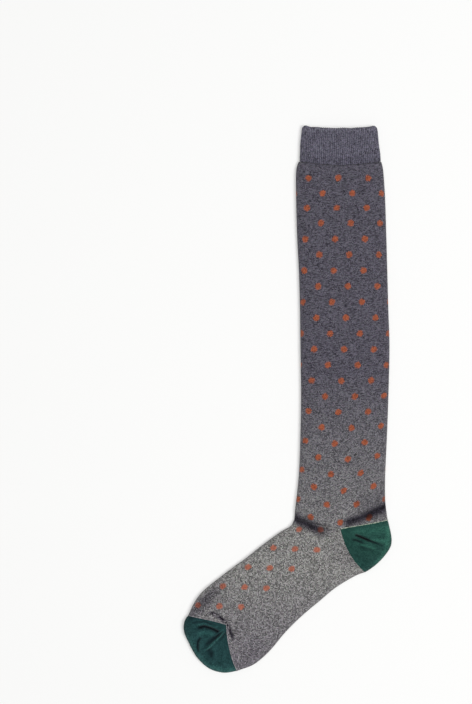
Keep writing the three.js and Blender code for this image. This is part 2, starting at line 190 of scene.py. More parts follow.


# Each crease is its path, depth, left, right, starts, ends and painted shade.
CREASES = table(
    Crease,
    # The cuff's last courses, painted darker towards the seam, and a painted highlight on its folded rim.
    (((-60, 385), (0, 382.4), (60, 385)), 0, 6.0, 2.6, 0, 0, 0.26),
    (((-60, 418.6), (60, 418.6)), 0, 2.4, 1.9, 0, 0, -0.3),
    # The ankle's fold, steep on the foot's side and soft on the leg's, its thin lip and the crest below it.
    # Painted shade darkens the fold and its lip, and a painted highlight lightens the crest.
    (
        ((-56, 13.2), (-45.2, 8.6), (-41, 6.2), (-35.7, 4.0), (-30.5, 1.7), (-25.2, -0.7), (-20, -3.2),
         (-12, -5.4), (-4, -7)),
        7.0, 6.2, 4.8, 0, 0.45, 1.26,
    ),
    (((-20, 1.2), (-10, -1.6), (-1, -3)), 1.0, 0.8, 1.2, 0.3, 0.2, 0.5),
    (((-37, -8), (-25, -10.8), (-13.7, -13.8), (-5, -10)), -0.9, 1.4, 1.6, 0.3, 0.3, -0.3),
    # The hollow above the heel, darkened by painted shade.
    (((0, 3.6), (6.3, 5.9), (12.6, 8.4), (21, 11), (31.5, 15.6), (52, 24.6)), 4.2, 4.4, 4.8, 0.16, 0, 1.2),
    (((20, 6.2), (33, 10.6), (53, 19)), 0.8, 3.4, 3.6, 0.5, 0, 0.28),
    # Broad soft hollows, darkened by painted shade: over the valley, beside the heel's seam, and on the foot
    # beside the toe.
    (((12, 18), (30, 24.5), (52, 33)), 0.4, 12, 6, 0.4, 0, 0.4),
    (((-8, -10), (2, -26), (14, -42)), 0.2, 9, 9, 0.2, 0.1, 0.17),
    (((-150, -82), (-134, -76), (-112, -66)), 0.2, 9, 9, 0.1, 0.4, 0.16),
    (((-100, -112), (-84, -128)), 0.2, 9, 9, 0.3, 0.1, 0.12),
    # The heel's three wrinkles, the crests beside them and its soft hollows.
    # Painted shade darkens the wrinkles and hollows, and painted highlights lighten the crests and the heel's
    # edge.
    (
        ((13.4, -6), (21, -8.8), (27.3, -11.6), (33.6, -13.9), (39.9, -16.4), (49, -20)),
        2.4, 1.4, 0.9, 0.1, 0.55, 1.4,
    ),
    (((10, -12.6), (15, -11.8), (21, -14), (26, -16)), 1.2, 1.2, 0.8, 0.25, 0.3, 1.05),
    (((19, -16.2), (27.3, -17.4), (33.6, -20.4), (39, -22.6)), -0.9, 1.0, 1.1, 0.3, 0.3, -0.75),
    (((15.6, -17.4), (23.1, -20), (29.4, -21.5), (36.4, -24.9)), 0.9, 1.0, 1.6, 0.3, 0.3, 0.5),
    (((8, -2.5), (26, -3), (50, -1)), -0.8, 3.8, 3.8, 0.2, 0, -0.6),
    (((28, -10.6), (39.9, -12.6), (50, -14.6)), -0.6, 2.2, 1.8, 0.3, 0.1, -0.8),
    (((49.5, 6), (50.5, -10), (48.5, -22), (42, -33), (31, -42)), -0.3, 2.6, 2.6, 0.1, 0.2, -1.0),
    (((36, -17), (44, -20), (52, -22)), 0.8, 2.6, 3.4, 0.4, 0.2, 0.3),
    (((8, -14), (16, -26), (30, -32), (44, -28)), 0.3, 7, 7, 0.3, 0.3, 0.22),
    # The toe's upper wrinkle with a crest on each side, and the line of painted shade under its seam.
    # Painted shade darkens the wrinkle, the line and the soft hollow beside the seam; painted highlights
    # lighten the crests.
    (
        ((-153, -105), (-149.1, -104.4), (-142.8, -102.4), (-136.5, -104), (-130.2, -106.9), (-126, -109)),
        2.2, 1.6, 1.4, 0.25, 0.12, 1.25,
    ),
    (((-152, -101.4), (-142.8, -99.4), (-136.5, -101.4), (-127, -103.4)), -0.6, 0.9, 0.9, 0.1, 0.1, -0.7),
    (((-152, -112), (-142.8, -108.9), (-136.5, -110), (-129, -111.8)), -0.8, 2.2, 2.2, 0.2, 0.3, -0.95),
    (
        ((-156, -99), (-149.1, -97.8), (-142.8, -96.6), (-136.5, -99.4), (-128, -101)),
        0.5, 1.1, 1.1, 0.1, 0.3, 0.6,
    ),
    (((-164, -101), (-158, -96), (-152, -92)), 0.6, 4, 4, 0.3, 0.3, 0.35),
    # The toe's second crest, the hollows on its two sides, and the arc beside them.
    # Painted shade darkens the hollows and the arc, and painted highlights lighten the crests and the toe's
    # lower edge.
    (((-143.6, -124.4), (-136.5, -118.6), (-130.2, -113.2), (-122, -105.6)), 1.6, 2.6, 1.4, 0.3, 0.3, 1.0),
    (((-134, -113.6), (-128, -109.4), (-121.6, -104.8)), -0.6, 0.8, 0.8, 0.3, 0.1, -0.8),
    (((-126, -116.6), (-122.6, -112), (-120, -107)), 0.9, 1.3, 1.3, 0.4, 0.2, 0.6),
    (((-144, -130), (-136.5, -123.2), (-130.2, -116.8), (-121, -107.6)), -1.4, 1.1, 0.9, 0.25, 0.04, -1.3),
    (((-139, -125), (-135.4, -130), (-133.6, -138)), 1.2, 2.2, 3.4, 0.15, 0.4, 0.85),
    (((-146, -112.8), (-149.1, -118.6), (-149.7, -124), (-148.4, -133)), 1.6, 1.2, 1.3, 0.2, 0.35, 1.2),
    (((-155, -108), (-155.5, -116), (-152.6, -126)), -0.3, 2.4, 2.4, 0.3, 0.3, -0.2),
    (((-150, -138), (-138, -148), (-122, -151.5), (-106, -148)), -0.3, 5, 5, 0.3, 0.1, -0.5),
    # A painted highlight along the toe's edge, and painted shade along the foot's edge that leads to it.
    (
        ((-163.4, -105.9), (-159.1, -116.6), (-150.9, -130.8), (-140.5, -143.1), (-122, -149.7),
         (-108, -147)),
        0, 3.0, 3.0, 0.2, 0.1, -0.8,
    ),
    (((-116.4, -49.5), (-131.1, -63.2), (-145, -77.5), (-161, -95.7)), 0, 6.5, 4.0, 0.5, 0.15, 0.65),
    # The folds of the foot beside the toe's seam, and the ridge that the seam makes.
    # Painted shade darkens the folds, and painted highlights lighten the ridges.
    (((-140, -87.4), (-134, -88.4), (-127.6, -91.8), (-118.4, -99.2)), 3.0, 1.7, 1.6, 0.3, 0.08, 1.45),
    (((-119, -99.4), (-115.8, -107), (-111.4, -117.4)), 2.6, 1.9, 1.6, 0.08, 0.3, 1.35),
    (((-158, -88), (-140, -92.8), (-123, -98.2)), -0.7, 1.3, 1.3, 0.1, 0.1, -0.22),
    (((-117.8, -103), (-115.4, -114), (-109.6, -130), (-103.4, -143)), -0.7, 1.2, 1.2, 0.1, 0.1, -0.22),
    (((-152, -79), (-140, -84), (-130, -88)), -0.5, 3, 3, 0.3, 0.3, -0.1),
)


@dataclass(frozen=True)
class Curl:
    """A bump of the rim, or a dip where height is below zero. past: its place from one end of the mouth."""

    height: float
    past: float
    breadth: float


def smoothstep(at: Array, low: float, high: float) -> Array:
    """Rises smoothly from 0 at low to 1 at high.

    Args:
        at: where to read it.
        low: where it leaves 0.
        high: where it reaches 1.

    Returns:
        The value at each place.
    """
    share = np.clip((np.asarray(at, float) - low) / max(high - low, 1e-9), 0, 1)
    return share * share * (3 - 2 * share)


def mix(first: Array, second: Array, share: Array) -> Array:
    """Goes from first to second as share goes from 0 to 1."""
    return first + (second - first) * share


def follow(rows: Sequence[NamedTuple], column: str, at: Array) -> Array:
    """Reads a smooth curve through one column of a table.

    Args:
        rows: the table, in order of its first field.
        column: the field to read.
        at: values of the first field.

    Returns:
        The column's value at each of them.
    """
    keys = np.array([row[0] for row in rows], float)
    values = np.array([getattr(row, column) for row in rows], float)
    ends = np.clip(np.arange(len(keys))[:, None] + [-1, 1], 0, len(keys) - 1)
    slopes = (values[ends[:, 1]] - values[ends[:, 0]]) / (keys[ends[:, 1]] - keys[ends[:, 0]])
    i = np.clip(np.searchsorted(keys, at) - 1, 0, len(keys) - 2)
    span = keys[i + 1] - keys[i]
    t = (at - keys[i]) / span
    return (
        values[i] * (2 * t**3 - 3 * t**2 + 1)
        + slopes[i] * span * (t**3 - 2 * t**2 + t)
        + values[i + 1] * (3 * t**2 - 2 * t**3)
        + slopes[i + 1] * span * (t**3 - t**2)
    )


def by_side(rows: Sequence[NamedTuple], front: str, back: str, along: Array, across: Array) -> Array:
    """Reads a table for places on both sides of a piece's middle.

    Args:
        rows: the table.
        front: the column for places where across is below 0.
        back: the column for the others.
        along: values of the table's first field.
        across: which side each place is on.

    Returns:
        The value for each place.
    """
    return np.where(across < 0, follow(rows, front, along), follow(rows, back, along))


@dataclass
class SockShape:
    """The sock's plan and its heights, in millimetres, from the heel corner.

    The leg runs up +Y, and the foot runs down to the left. across goes from -1 at the front edge, the
    shin and instep side, to 1 at the back edge, the calf and sole side.
    """

    leg_length: float = 380.0
    leg_width: float = 93.0
    leg_rise: float = 4.4
    ankle_rise: float = 8.6
    cuff_height: float = 40.5
    cuff_width: float = 84.0
    mouth_rise: float = 1.6
    mouth_setback: float = 1.6
    foot_body: float = 156.4
    foot_width: float = 90.0
    foot_slope: float = math.radians(41.5)
    heel_depth: float = 56.5
    toe_depth: float = 46.0
    heel_bow: float = 4.6
    toe_bow: float = 2.9
    toe_arch: float = 1.2
    toe_corner_shift: float = 4.0
    leg_loft: float = 10.4
    cuff_loft: float = 10.6
    foot_loft: float = 12.2
    toe_loft: float = 11.4
    knit_wall: float = 1.4
    pocket_wall: float = 1.7
    cuff_wall: float = 2.1
    fold_height: float = 2.6
    shoulder: float = 26.0
    under_curl: float = 4.5
    piece_gap: float = 0.3
    hidden_gap: float = 0.1
    sag_power: float = 1.8
    upper_power: float = 2.2
    ripple: float = 0.22
    least_loft: float = 2.3
    ankle_from: float = 0.5
    toe_from: float = 0.8
    toe_to: float = 0.4
    seam_blend: float = 0.1
    front_curls: tuple[Curl, ...] = (Curl(1.3, 4.2, 3.4), Curl(-1.4, 0.0, 1.6))
    back_curls: tuple[Curl, ...] = (Curl(0.9, -3.4, 2.4), Curl(-1.4, 0.0, 1.6))
    rim_waves: float = 0.15
    edge_steps: int = 61

    def __post_init__(self) -> None:
        """Works out the foot's directions, the two pockets and the sock's folded edge."""
        cos, sin = math.cos(self.foot_slope), math.sin(self.foot_slope)
        self.to_toe = np.array([-cos, -sin])
        self.to_sole = np.array([sin, -cos])
        front = self.leg(np.array(1.0), np.array(-1.0))
        first = FOOT_ROWS[0]._replace(
            instep_lead=float(front @ self.to_toe) / self.foot_width,
            instep=-float(front @ self.to_sole) / (self.foot_width / 2),
        )
        self.foot_rows = (first, *FOOT_ROWS[1:])
        one = np.array(1.0)
        self.heel = Pocket(
            lambda reach: self.leg(one, reach),
            lambda reach: self.foot(0 * one, reach),
            False,
            self.heel_depth,
            HEEL_ROWS,
            self.hidden_gap,
        )
        self.toe = Pocket(
            lambda reach: self.foot(one, -reach),
            lambda reach: self.foot(one, reach),
            True,
            self.toe_depth,
            TOE_ROWS,
            self.hidden_gap,
        )
        run = np.linspace(0, 1, self.edge_steps)
        self.edge = np.concatenate(
            [
                self.cuff(1 - run, -one),
                self.leg(run, -one),
                self.foot(run, -one),
                self.toe.place(run, one),
                self.foot(1 - run, one),
                self.heel.place(1 - run, one),
                self.leg(1 - run, one),
                self.cuff(run, one),
            ]
        )

    def leg(self, down: Array, across: Array) -> Array:
        """Gives places of the leg in plan.

        Args:
            down: shares of the leg from the cuff's seam.
            across: from -1 at the front edge to 1 at the back edge.

        Returns:
            The places, with x and y on the last axis.
        """
        down, across = np.broadcast_arrays(down, across)
        edge = by_side(LEG_ROWS, "front", "back", down, across)
        ankle = smoothstep(down, self.ankle_from, 1)
        rise = mix(self.leg_rise, self.ankle_rise, ankle) * np.abs(across) ** mix(self.sag_power, 1, ankle)
        return np.stack([across * edge * self.leg_width / 2, self.leg_length * (1 - down) + rise], -1)

    def cuff(self, up: Array, across: Array) -> Array:
        """Gives places of the cuff in plan.

        Args:
            up: shares of the cuff from its seam.
            across: from -1 at the front edge to 1 at the back edge.

        Returns:
            The places, with x and y on the last axis.
        """
        up, across = np.broadcast_arrays(up, across)
        edge = by_side(CUFF_ROWS, "front", "back", up, across)
        rise = mix(self.leg_rise, self.mouth_rise, up) * np.abs(across) ** self.sag_power
        return np.stack(
            [across * edge * self.cuff_width / 2, self.leg_length + up * self.cuff_height + rise], -1
        )

    def rim_lift(self, x: Array) -> Array:
        """Gives how far the rim stands up where its knit curls, beside the folds at its two ends.

        Args:
            x: places along the rim.

        Returns:
            The lift at each of them.
        """
        lift = self.rim_waves * (np.sin(x / 2.3) + np.sin(x / 3.9 + 1))
        for end, curls in ((-1.0, self.front_curls), (1.0, self.back_curls)):
            corner = self.cuff(np.array(1.0), np.array(end))[0]
            for curl in curls:
                lift += curl.height * np.exp(-(((x - corner - curl.past) / curl.breadth) ** 2))
        return lift

    def foot(self, along: Array, across: Array) -> Array:
        """Gives places of the foot in plan.

        Args:
            along: shares of the foot from the heel corner.
            across: from -1 at the instep to 1 at the sole.

        Returns:
            The places, with x and y on the last axis.
        """
        along, across = np.broadcast_arrays(along, across)
        lead = by_side(self.foot_rows, "instep_lead", "sole_lead", along, across)
        half = by_side(self.foot_rows, "instep", "sole", along, across)
        out = np.abs(across)
        bow = np.where(across < 0, mix(0, -self.toe_arch, along), mix(self.heel_bow, self.toe_bow, along))
        forward = along * self.foot_body + out * lead * self.foot_width + bow * 4 * out * (1 - out)
        aside = across * half * self.foot_width / 2 - self.toe_corner_shift * along * (1 - out)
        return forward[..., None] * self.to_toe + aside[..., None] * self.to_sole

    def edge_distance(self, places: Array) -> Array:
        """Measures how far places in the plan lie from the folded edge.

        Args:
            places: places in plan.

        Returns:
            Their distances.
        """
        flat = places.reshape(-1, 2)
        starts, spans = self.edge[:-1], np.diff(self.edge, axis=0)
        squares = np.maximum((spans**2).sum(1), 1e-12)
        found = np.empty(len(flat))
        for low in range(0, len(flat), BATCH):
            away = flat[low : low + BATCH, None] - starts
            share = np.clip((away * spans).sum(-1) / squares, 0, 1)
            found[low : low + BATCH] = ((away - share[..., None] * spans) ** 2).sum(-1).min(1)
        return np.sqrt(found).reshape(places.shape[:-1])

    def loft(self, places: Array) -> Array:
        """Gives the height of the sock's middle: the cuff's, leg's, foot's and toe's, blended.

        Args:
            places: places in plan.

        Returns:
            The heights.
        """
        y = places[..., 1]
        seam, blend = self.leg_length, self.seam_blend * self.cuff_height
        cuff = smoothstep(y, seam - blend, seam + blend)
        foot = smoothstep(self.leg_width / 2 - y, 0, self.leg_width)
        low, high = self.toe_from * self.foot_body, self.foot_body + self.toe_to * self.toe_depth
        toe = smoothstep(places @ self.to_toe, low, high)
        height = mix(self.leg_loft, self.cuff_loft, cuff)
        return mix(mix(height, self.foot_loft, foot), self.toe_loft, toe)

    def ripples(self, places: Array) -> Array:
        """Gives the upper layer's faint unevenness, as cloth has that was laid out by hand.

        Args:
            places: places in plan.

        Returns:
            How far it is raised at each of them.
        """
        x, y = places[..., 0], places[..., 1]
        waves = (
            np.sin(x / 9.0 + 1.3 * np.sin(y / 31.0))
            + np.sin(y / 13.0 + 0.9 * np.sin(x / 17.0) + 1.0)
            + 0.7 * np.sin((x + y) / 6.1 + 2.0 * np.sin(y / 23.0))
        )
        return self.ripple * waves / 2.7

    def height(self, places: Array, layer: Layer, inset: float = 0.0, start: Array = 0.0) -> Array:
        """Gives the height of one layer's skin.

        Args:
            places: places in plan.
            layer: which of the two layers.
            inset: 0 on the outer skin, and the wall's thickness on the inner skin.
            start: how far from the folded edge the skin turns from the one layer into the other.

        Returns:
            The heights.
        """
        away = self.edge_distance(places) - start
        if layer is Layer.LOWER:
            share = np.clip(away / (self.under_curl - start), 0, 1)
            return self.fold_height - (self.fold_height - inset) * np.sqrt(1 - (1 - share) ** 2)
        share = np.clip(away / (self.shoulder - start), 0, 1)
        rise = np.sqrt(1 - (1 - share) ** self.upper_power)
        pressed = sum(crease.depth * crease.profile(places) for crease in CREASES)
        loft = self.loft(places) + self.ripples(places) - self.fold_height
        return self.fold_height + (np.maximum(loft - pressed, self.least_loft) - inset) * rise

    def painted_shade(self, places: Array) -> Array:
        """Gives the shade that the folds paint into the cloth's colour, a painted highlight below zero on a
        crest.
        """
        return sum(crease.painted_shade * crease.profile(places) for crease in CREASES)


@dataclass
class Pocket:
    """A fan about its corner, from one edge that it shares with a neighbour to another."""

    first_edge: Place
    last_edge: Place
    turns_left: bool
    depth: float
    rows: Sequence[PocketRow]
    gap: float

    def __post_init__(self) -> None:
        """Works out the fan's corner, its two ends, its turn and its half of the gaps."""
        self.corner = self.first_edge(np.array(0.0))
        self.start_arm = self.first_edge(np.array(1.0)) - self.corner
        self.end_arm = self.last_edge(np.array(1.0)) - self.corner
        self.start = math.atan2(self.start_arm[1], self.start_arm[0])
        turn = math.atan2(self.end_arm[1], self.end_arm[0]) - self.start
        if (turn > 0) != self.turns_left:
            turn += -2 * math.pi if turn > 0 else 2 * math.pi
        self.turn = turn
        middle = self.start + turn / 2
        clearance = self.gap / 2 / math.sin(abs(turn) / 2)
        self.shift = clearance * np.array([math.cos(middle), math.sin(middle)])

    def place(self, sweep: Array, reach: Array) -> Array:
        """Gives places of the pocket in plan.

        Args:
            sweep: shares of the turn.
            reach: from 0 at the corner to 1 at the fold.

        Returns:
            The places, with x and y on the last axis.
        """
        sweep, reach = np.broadcast_arrays(sweep, reach)
        hold = 1 - np.abs(2 * sweep - 1) ** 4
        ends = mix(np.linalg.norm(self.start_arm), np.linalg.norm(self.end_arm), sweep)
        length = mix(ends, self.depth * follow(self.rows, "reach", sweep), hold) * reach
        angle = self.start + self.turn * sweep
        fan = np.stack([length * np.cos(angle), length * np.sin(angle)], -1)
        first = self.first_edge(reach) - self.corner - reach[..., None] * self.start_arm
        last = self.last_edge(reach) - self.corner - reach[..., None] * self.end_arm
        bends = first * ((1 - sweep) ** 2)[..., None] + last * (sweep**2)[..., None]
        return self.corner + self.shift + fan + bends


@dataclass(frozen=True)
class Gauge:
    """The knitting's stitches. A wale is a column of them and a course is a row, in millimetres.

    foot_share and pocket_share say how much closer the foot's and the pockets' stitches lie.
    """

    wales: int = 168
    cuff_upper_wales: int = 90
    wale: float = 1.114
    course: float = 0.785
    foot_share: float = 0.93
    pocket_share: float = 0.8
    lean: float = 0.0585


@dataclass
class Skin:
    """A grid of points, its stitches, and the painted shade of its folds, below zero a painted highlight."""

    points: Array
    knit: Array
    # fold carries painted shade, which the materials multiply into the colour; below zero it is a painted
    # highlight.
    fold: Array

    def part(self, rows: slice = ALL, columns: slice = ALL) -> "Skin":
        """Gives some of its rows and columns."""
        return Skin(*(grid[rows, columns] for grid in (self.points, self.knit, self.fold)))

    def join(self, others: Sequence["Skin"], axis: int) -> "Skin":
        """Puts other skins behind it, along its rows or its columns.

        Args:
            others: the other skins.
            axis: 0 to add rows, 1 to add columns.

        Returns:
            The skins as one.
        """
        names = ("points", "knit", "fold")
        skins = (self, *others)
        return Skin(*(np.concatenate([getattr(skin, name) for skin in skins], axis) for name in names))


def add_up(steps: Array) -> Array:
    """Adds up the steps along each row, from 0."""
    return np.concatenate([np.zeros((len(steps), 1)), np.cumsum(steps, 1)], 1)


def respace(dense: Array, count: int) -> Array:
    """Draws each row of a grid again with its points evenly spaced along it.

    Args:
        dense: rows of points. x, y and z come first on the last axis, and more may follow.
        count: how many steps each row gets.

    Returns:
        The new rows, with count + 1 points each.
    """
    runs = add_up(np.linalg.norm(np.diff(dense[..., :3], axis=1), axis=-1))
    rows = []
    for run, row in zip(runs, dense):
        at = np.linspace(0, run[-1], count + 1)
        rows.append(np.stack([np.interp(at, run, row[:, k]) for k in range(row.shape[1])], -1))
    return np.array(rows)


def close_edges(count: int) -> Array:
    """Gives shares from 0 to 1 that lie closer together towards 1, where the cloth folds."""
    even = np.linspace(0, 1, count + 1)
    return EVEN_SHARE * even + (1 - EVEN_SHARE) * np.sin(even * math.pi / 2)


@dataclass
class Weaver:
    """Turns the sock's shape into skins of even quads with their stitches counted."""

    shape: SockShape
    gauge: Gauge
    fineness: int = 90

    def tube(
        self,
        place: Callable[[Array, Array], Array],
        steps: Array,
        inset: float,
        counts: tuple[int, int],
        stitches: Callable[[Array, Array], tuple[Array, Array]],
    ) -> Skin:
        """Makes one skin of a piece of tube.

        Args:
            place: gives plan places from a share along the piece and across.
            steps: the shares along the piece at which it has a section.
            inset: 0 on the outer skin, and the wall's thickness on the inner skin.
            counts: quads over the upper layer, and under the lower layer.
            stitches: gives the knit's distance aside and along, in millimetres, for plan places.

        Returns:
            The skin, with one column more than it has points round it.
        """
        middle = place(steps, np.zeros(len(steps)))
        shares, starts = [], []
        for side in (-1.0, 1.0):
            reach = np.linalg.norm(place(steps, np.full(len(steps), side)) - middle, axis=-1)
            shares.append(1 - inset / reach)
            starts.append(self.shape.edge_distance(place(steps, side * shares[-1])))
        half = close_edges(self.fineness)
        across = np.concatenate([-half[::-1], half[1:]])
        pick = (across >= 0).astype(int)
        share, start = np.array(shares)[pick].T, np.array(starts)[pick].T
        plan = place(steps[:, None], across[None] * share)
        sides = []
        for layer in Layer:
            z = self.shape.height(plan, layer, inset, start)
            sides.append(np.concatenate([plan, z[..., None]], -1))
        upper, lower = sides
        aside, along = stitches(plan, steps)
        excess = self._excess(upper)
        wale = (aside + excess) / self.gauge.wale
        course = along / self.gauge.course
        painted_shade = self.shape.painted_shade(plan)
        upper = respace(np.concatenate([upper, np.stack([wale, course, painted_shade], -1)], -1), counts[0])
        none = np.zeros_like(course)
        lower = np.concatenate([lower, np.stack([none, course, none], -1)], -1)[:, ::-1]
        lower = respace(lower, counts[1])
        rest = self.gauge.wales - (upper[:, -1, 3] - upper[:, 0, 3])
        lower[..., 3] = upper[:, -1:, 3] + rest[:, None] * np.linspace(0, 1, counts[1] + 1)
        ring = np.concatenate([upper, lower[:, 1:]], 1)
        knit = ring[..., 3:5].copy()
        knit[..., 0] += self.gauge.lean * knit[..., 1]
        return Skin(ring[..., :3], knit, ring[..., 5])

    def _excess(self, upper: Array) -> Array:
        """Measures how much longer the cloth is than its plan, from the middle of each row.

        Args:
            upper: the upper layer's points.

        Returns:
            The length to add at each point, below zero before the middle.
        """
        steps = np.diff(upper, axis=1)
        longer = np.linalg.norm(steps, axis=-1) - np.linalg.norm(steps[..., :2], axis=-1)
        run = add_up(longer)
        return run - run[:, run.shape[1] // 2][:, None]

    def pocket(self, pocket: Pocket, spokes: int, inset: float, counts: tuple[int, int]) -> Skin:
        """Makes one skin of a pocket, whose rows of knitting are its spokes.

        Args:
            pocket: the fan.
            spokes: how many quads it has round its corner.
            inset: 0 on the outer skin, and the wall's thickness on the inner skin.
            counts: quads along a spoke over the upper layer, and under the lower layer.

        Returns:
            The skin, from the corner over the fold and back to the corner below.
        """
        sweep = np.linspace(0, 1, spokes + 1)
        one = np.ones_like(sweep)
        reach = np.linalg.norm(pocket.place(sweep, one) - pocket.place(sweep, 0 * one), axis=-1)
        share = 1 - inset / reach
        start = self.shape.edge_distance(pocket.place(sweep, share))[:, None]
        plan = pocket.place(sweep[:, None], close_edges(self.fineness)[None] * share[:, None])
        painted_shade = self.shape.painted_shade(plan)[..., None]
        sides = []
        for layer, count in zip(Layer, counts):
            z = self.shape.height(plan, layer, inset, start)[..., None]
            sides.append(respace(np.concatenate([plan, z, painted_shade], -1), count))
        upper, lower = sides
        lower[..., 3] = 0
        ring = np.concatenate([upper, lower[:, -2::-1]], 1)
        run = add_up(np.linalg.norm(np.diff(ring[..., :3], axis=1), axis=-1))
        fold = np.abs(pocket.turn) * pocket.depth * self.gauge.pocket_share / self.gauge.course
        knit = np.stack([run / self.gauge.wale, np.broadcast_to(sweep[:, None] * fold, run.shape)], -1)
        return Skin(ring[..., :3], knit, ring[..., 3])


@dataclass
class Cloth:
    """Makes the wall of a piece out of its outer and inner skins."""

    name: str
    origin: Array

    def torus(self, outer: Skin, inner: Skin) -> Object:
        """Joins two skins of a tube at both its ends. Their last column repeats their first.

        Args:
            outer: the outer skin.
            inner: the inner skin, which may have fewer rows.

        Returns:
            The object.
        """
        skin = outer.join([inner.part(BACKWARDS)], 0)
        rows, columns = len(skin.points), skin.points.shape[1] - 1
        quads, uv = self._quads(skin.knit, rows, columns)
        outside = np.zeros((rows, columns))
        outside[: len(outer.points)] = 1
        return self._object(skin.part(columns=slice(columns)), quads, uv, outside)

    def fan(self, outer: Skin, inner: Skin) -> Object:
        """Joins two skins of a pocket along its first and last spokes, and welds its corner.

        Args:
            outer: the outer skin.
            inner: the inner skin.

        Returns:
            The object.
        """
        skin = outer.join([inner.part(columns=BACKWARDS)], 1)
        rows, columns = skin.points.shape[:2]
        quads, uv = self._quads(skin.knit, rows - 1, columns)
        half = columns // 2
        i = np.arange(half - 1)
        j = columns - 1 - i
        first = np.stack([j, j - 1, i + 1, i], -1)
        last = (rows - 1) * columns + np.stack([i, i + 1, j - 1, j], -1)
        strips = np.concatenate([first, last])
        quads = np.concatenate([quads, strips])
        uv = np.concatenate([uv, skin.knit.reshape(-1, 2)[strips].reshape(-1, 2)])
        outside = np.zeros((rows, columns))
        outside[:, :half] = 1
        made = self._object(skin, quads, uv, outside)
        shell = bmesh.new()
        shell.from_mesh(made.data)
        bmesh.ops.remove_doubles(shell, verts=shell.verts, dist=1e-6)
        shell.to_mesh(made.data)
        shell.free()
        return made

    def _quads(self, knit: Array, strips: int, columns: int) -> tuple[Array, Array]:
        """Makes the quads of a grid whose rows close on themselves.

        Args:
            knit: the stitches, with one column more than the grid where the knitting has a seam.
            strips: how many strips of quads. With as many as rows, the last row joins the first.
            columns: how many points a row has.

        Returns:
            Each quad's four point numbers, and the stitch at each of its corners.
        """
        r, c = np.meshgrid(np.arange(strips), np.arange(columns), indexing="ij")
        below = (r + 1) % len(knit)
        corners = [(r, c), (r, c + 1), (below, c + 1), (below, c)]
        quads = np.stack([row * columns + column % columns for row, column in corners], -1)
        uv = np.stack([knit[row, column % knit.shape[1]] for row, column in corners], 2)
        return quads.reshape(-1, 4), uv.reshape(-1, 2)

    def _object(self, skin: Skin, quads: Array, uv: Array, outside: Array) -> Object:
        """Makes the object, with its faces outwards and its stitches and painted shade as attributes.

        Args:
            skin: its points, in millimetres in plan, with their stitches and painted shade.
            quads: each quad's four point numbers.
            uv: the stitch at each corner of each quad.
            outside: 1 on the outer skin and 0 on the inner skin.

        Returns:
            The object, in metres in the row's frame.
        """
        body = (skin.points.reshape(-1, 3) + self.origin) * MM
        a, b, c, d = (body[quads[:, k]] for k in range(4))
        volume = (a * (np.cross(b, c) + np.cross(c, d))).sum()
        if volume < 0:
            quads = quads[:, ::-1]
            uv = uv.reshape(-1, 4, 2)[:, ::-1].reshape(-1, 2)
        mesh = bpy.data.meshes.new(self.name)
        mesh.vertices.add(len(body))
        mesh.vertices.foreach_set("co", body.ravel())
        mesh.loops.add(quads.size)
        mesh.loops.foreach_set("vertex_index", quads.ravel().astype(np.int32))
        mesh.polygons.add(len(quads))
        mesh.polygons.foreach_set("loop_start", np.arange(0, quads.size, 4, dtype=np.int32))
        mesh.uv_layers.new(name="knit").data.foreach_set("uv", uv.ravel())
        # The fold attribute carries painted shade, which the materials multiply into the colour.
        for name, values in (("fold", skin.fold), ("wale", skin.knit[..., 0]), ("outside", outside)):
            mesh.attributes.new(name, "FLOAT", "POINT").data.foreach_set("value", values.ravel())
        mesh.update(calc_edges=True)
        mesh.validate()
        mesh.shade_smooth()
        return add_object(self.name, mesh)


def add_object(name: str, data: ID) -> Object:
    """Puts an object with this mesh, light or camera in the scene.

    Args:
        name: its name.
        data: the mesh, light or camera.

    Returns:
        The object.
    """
    made = bpy.data.objects.new(name, data)
    bpy.context.scene.collection.objects.link(made)
    return made


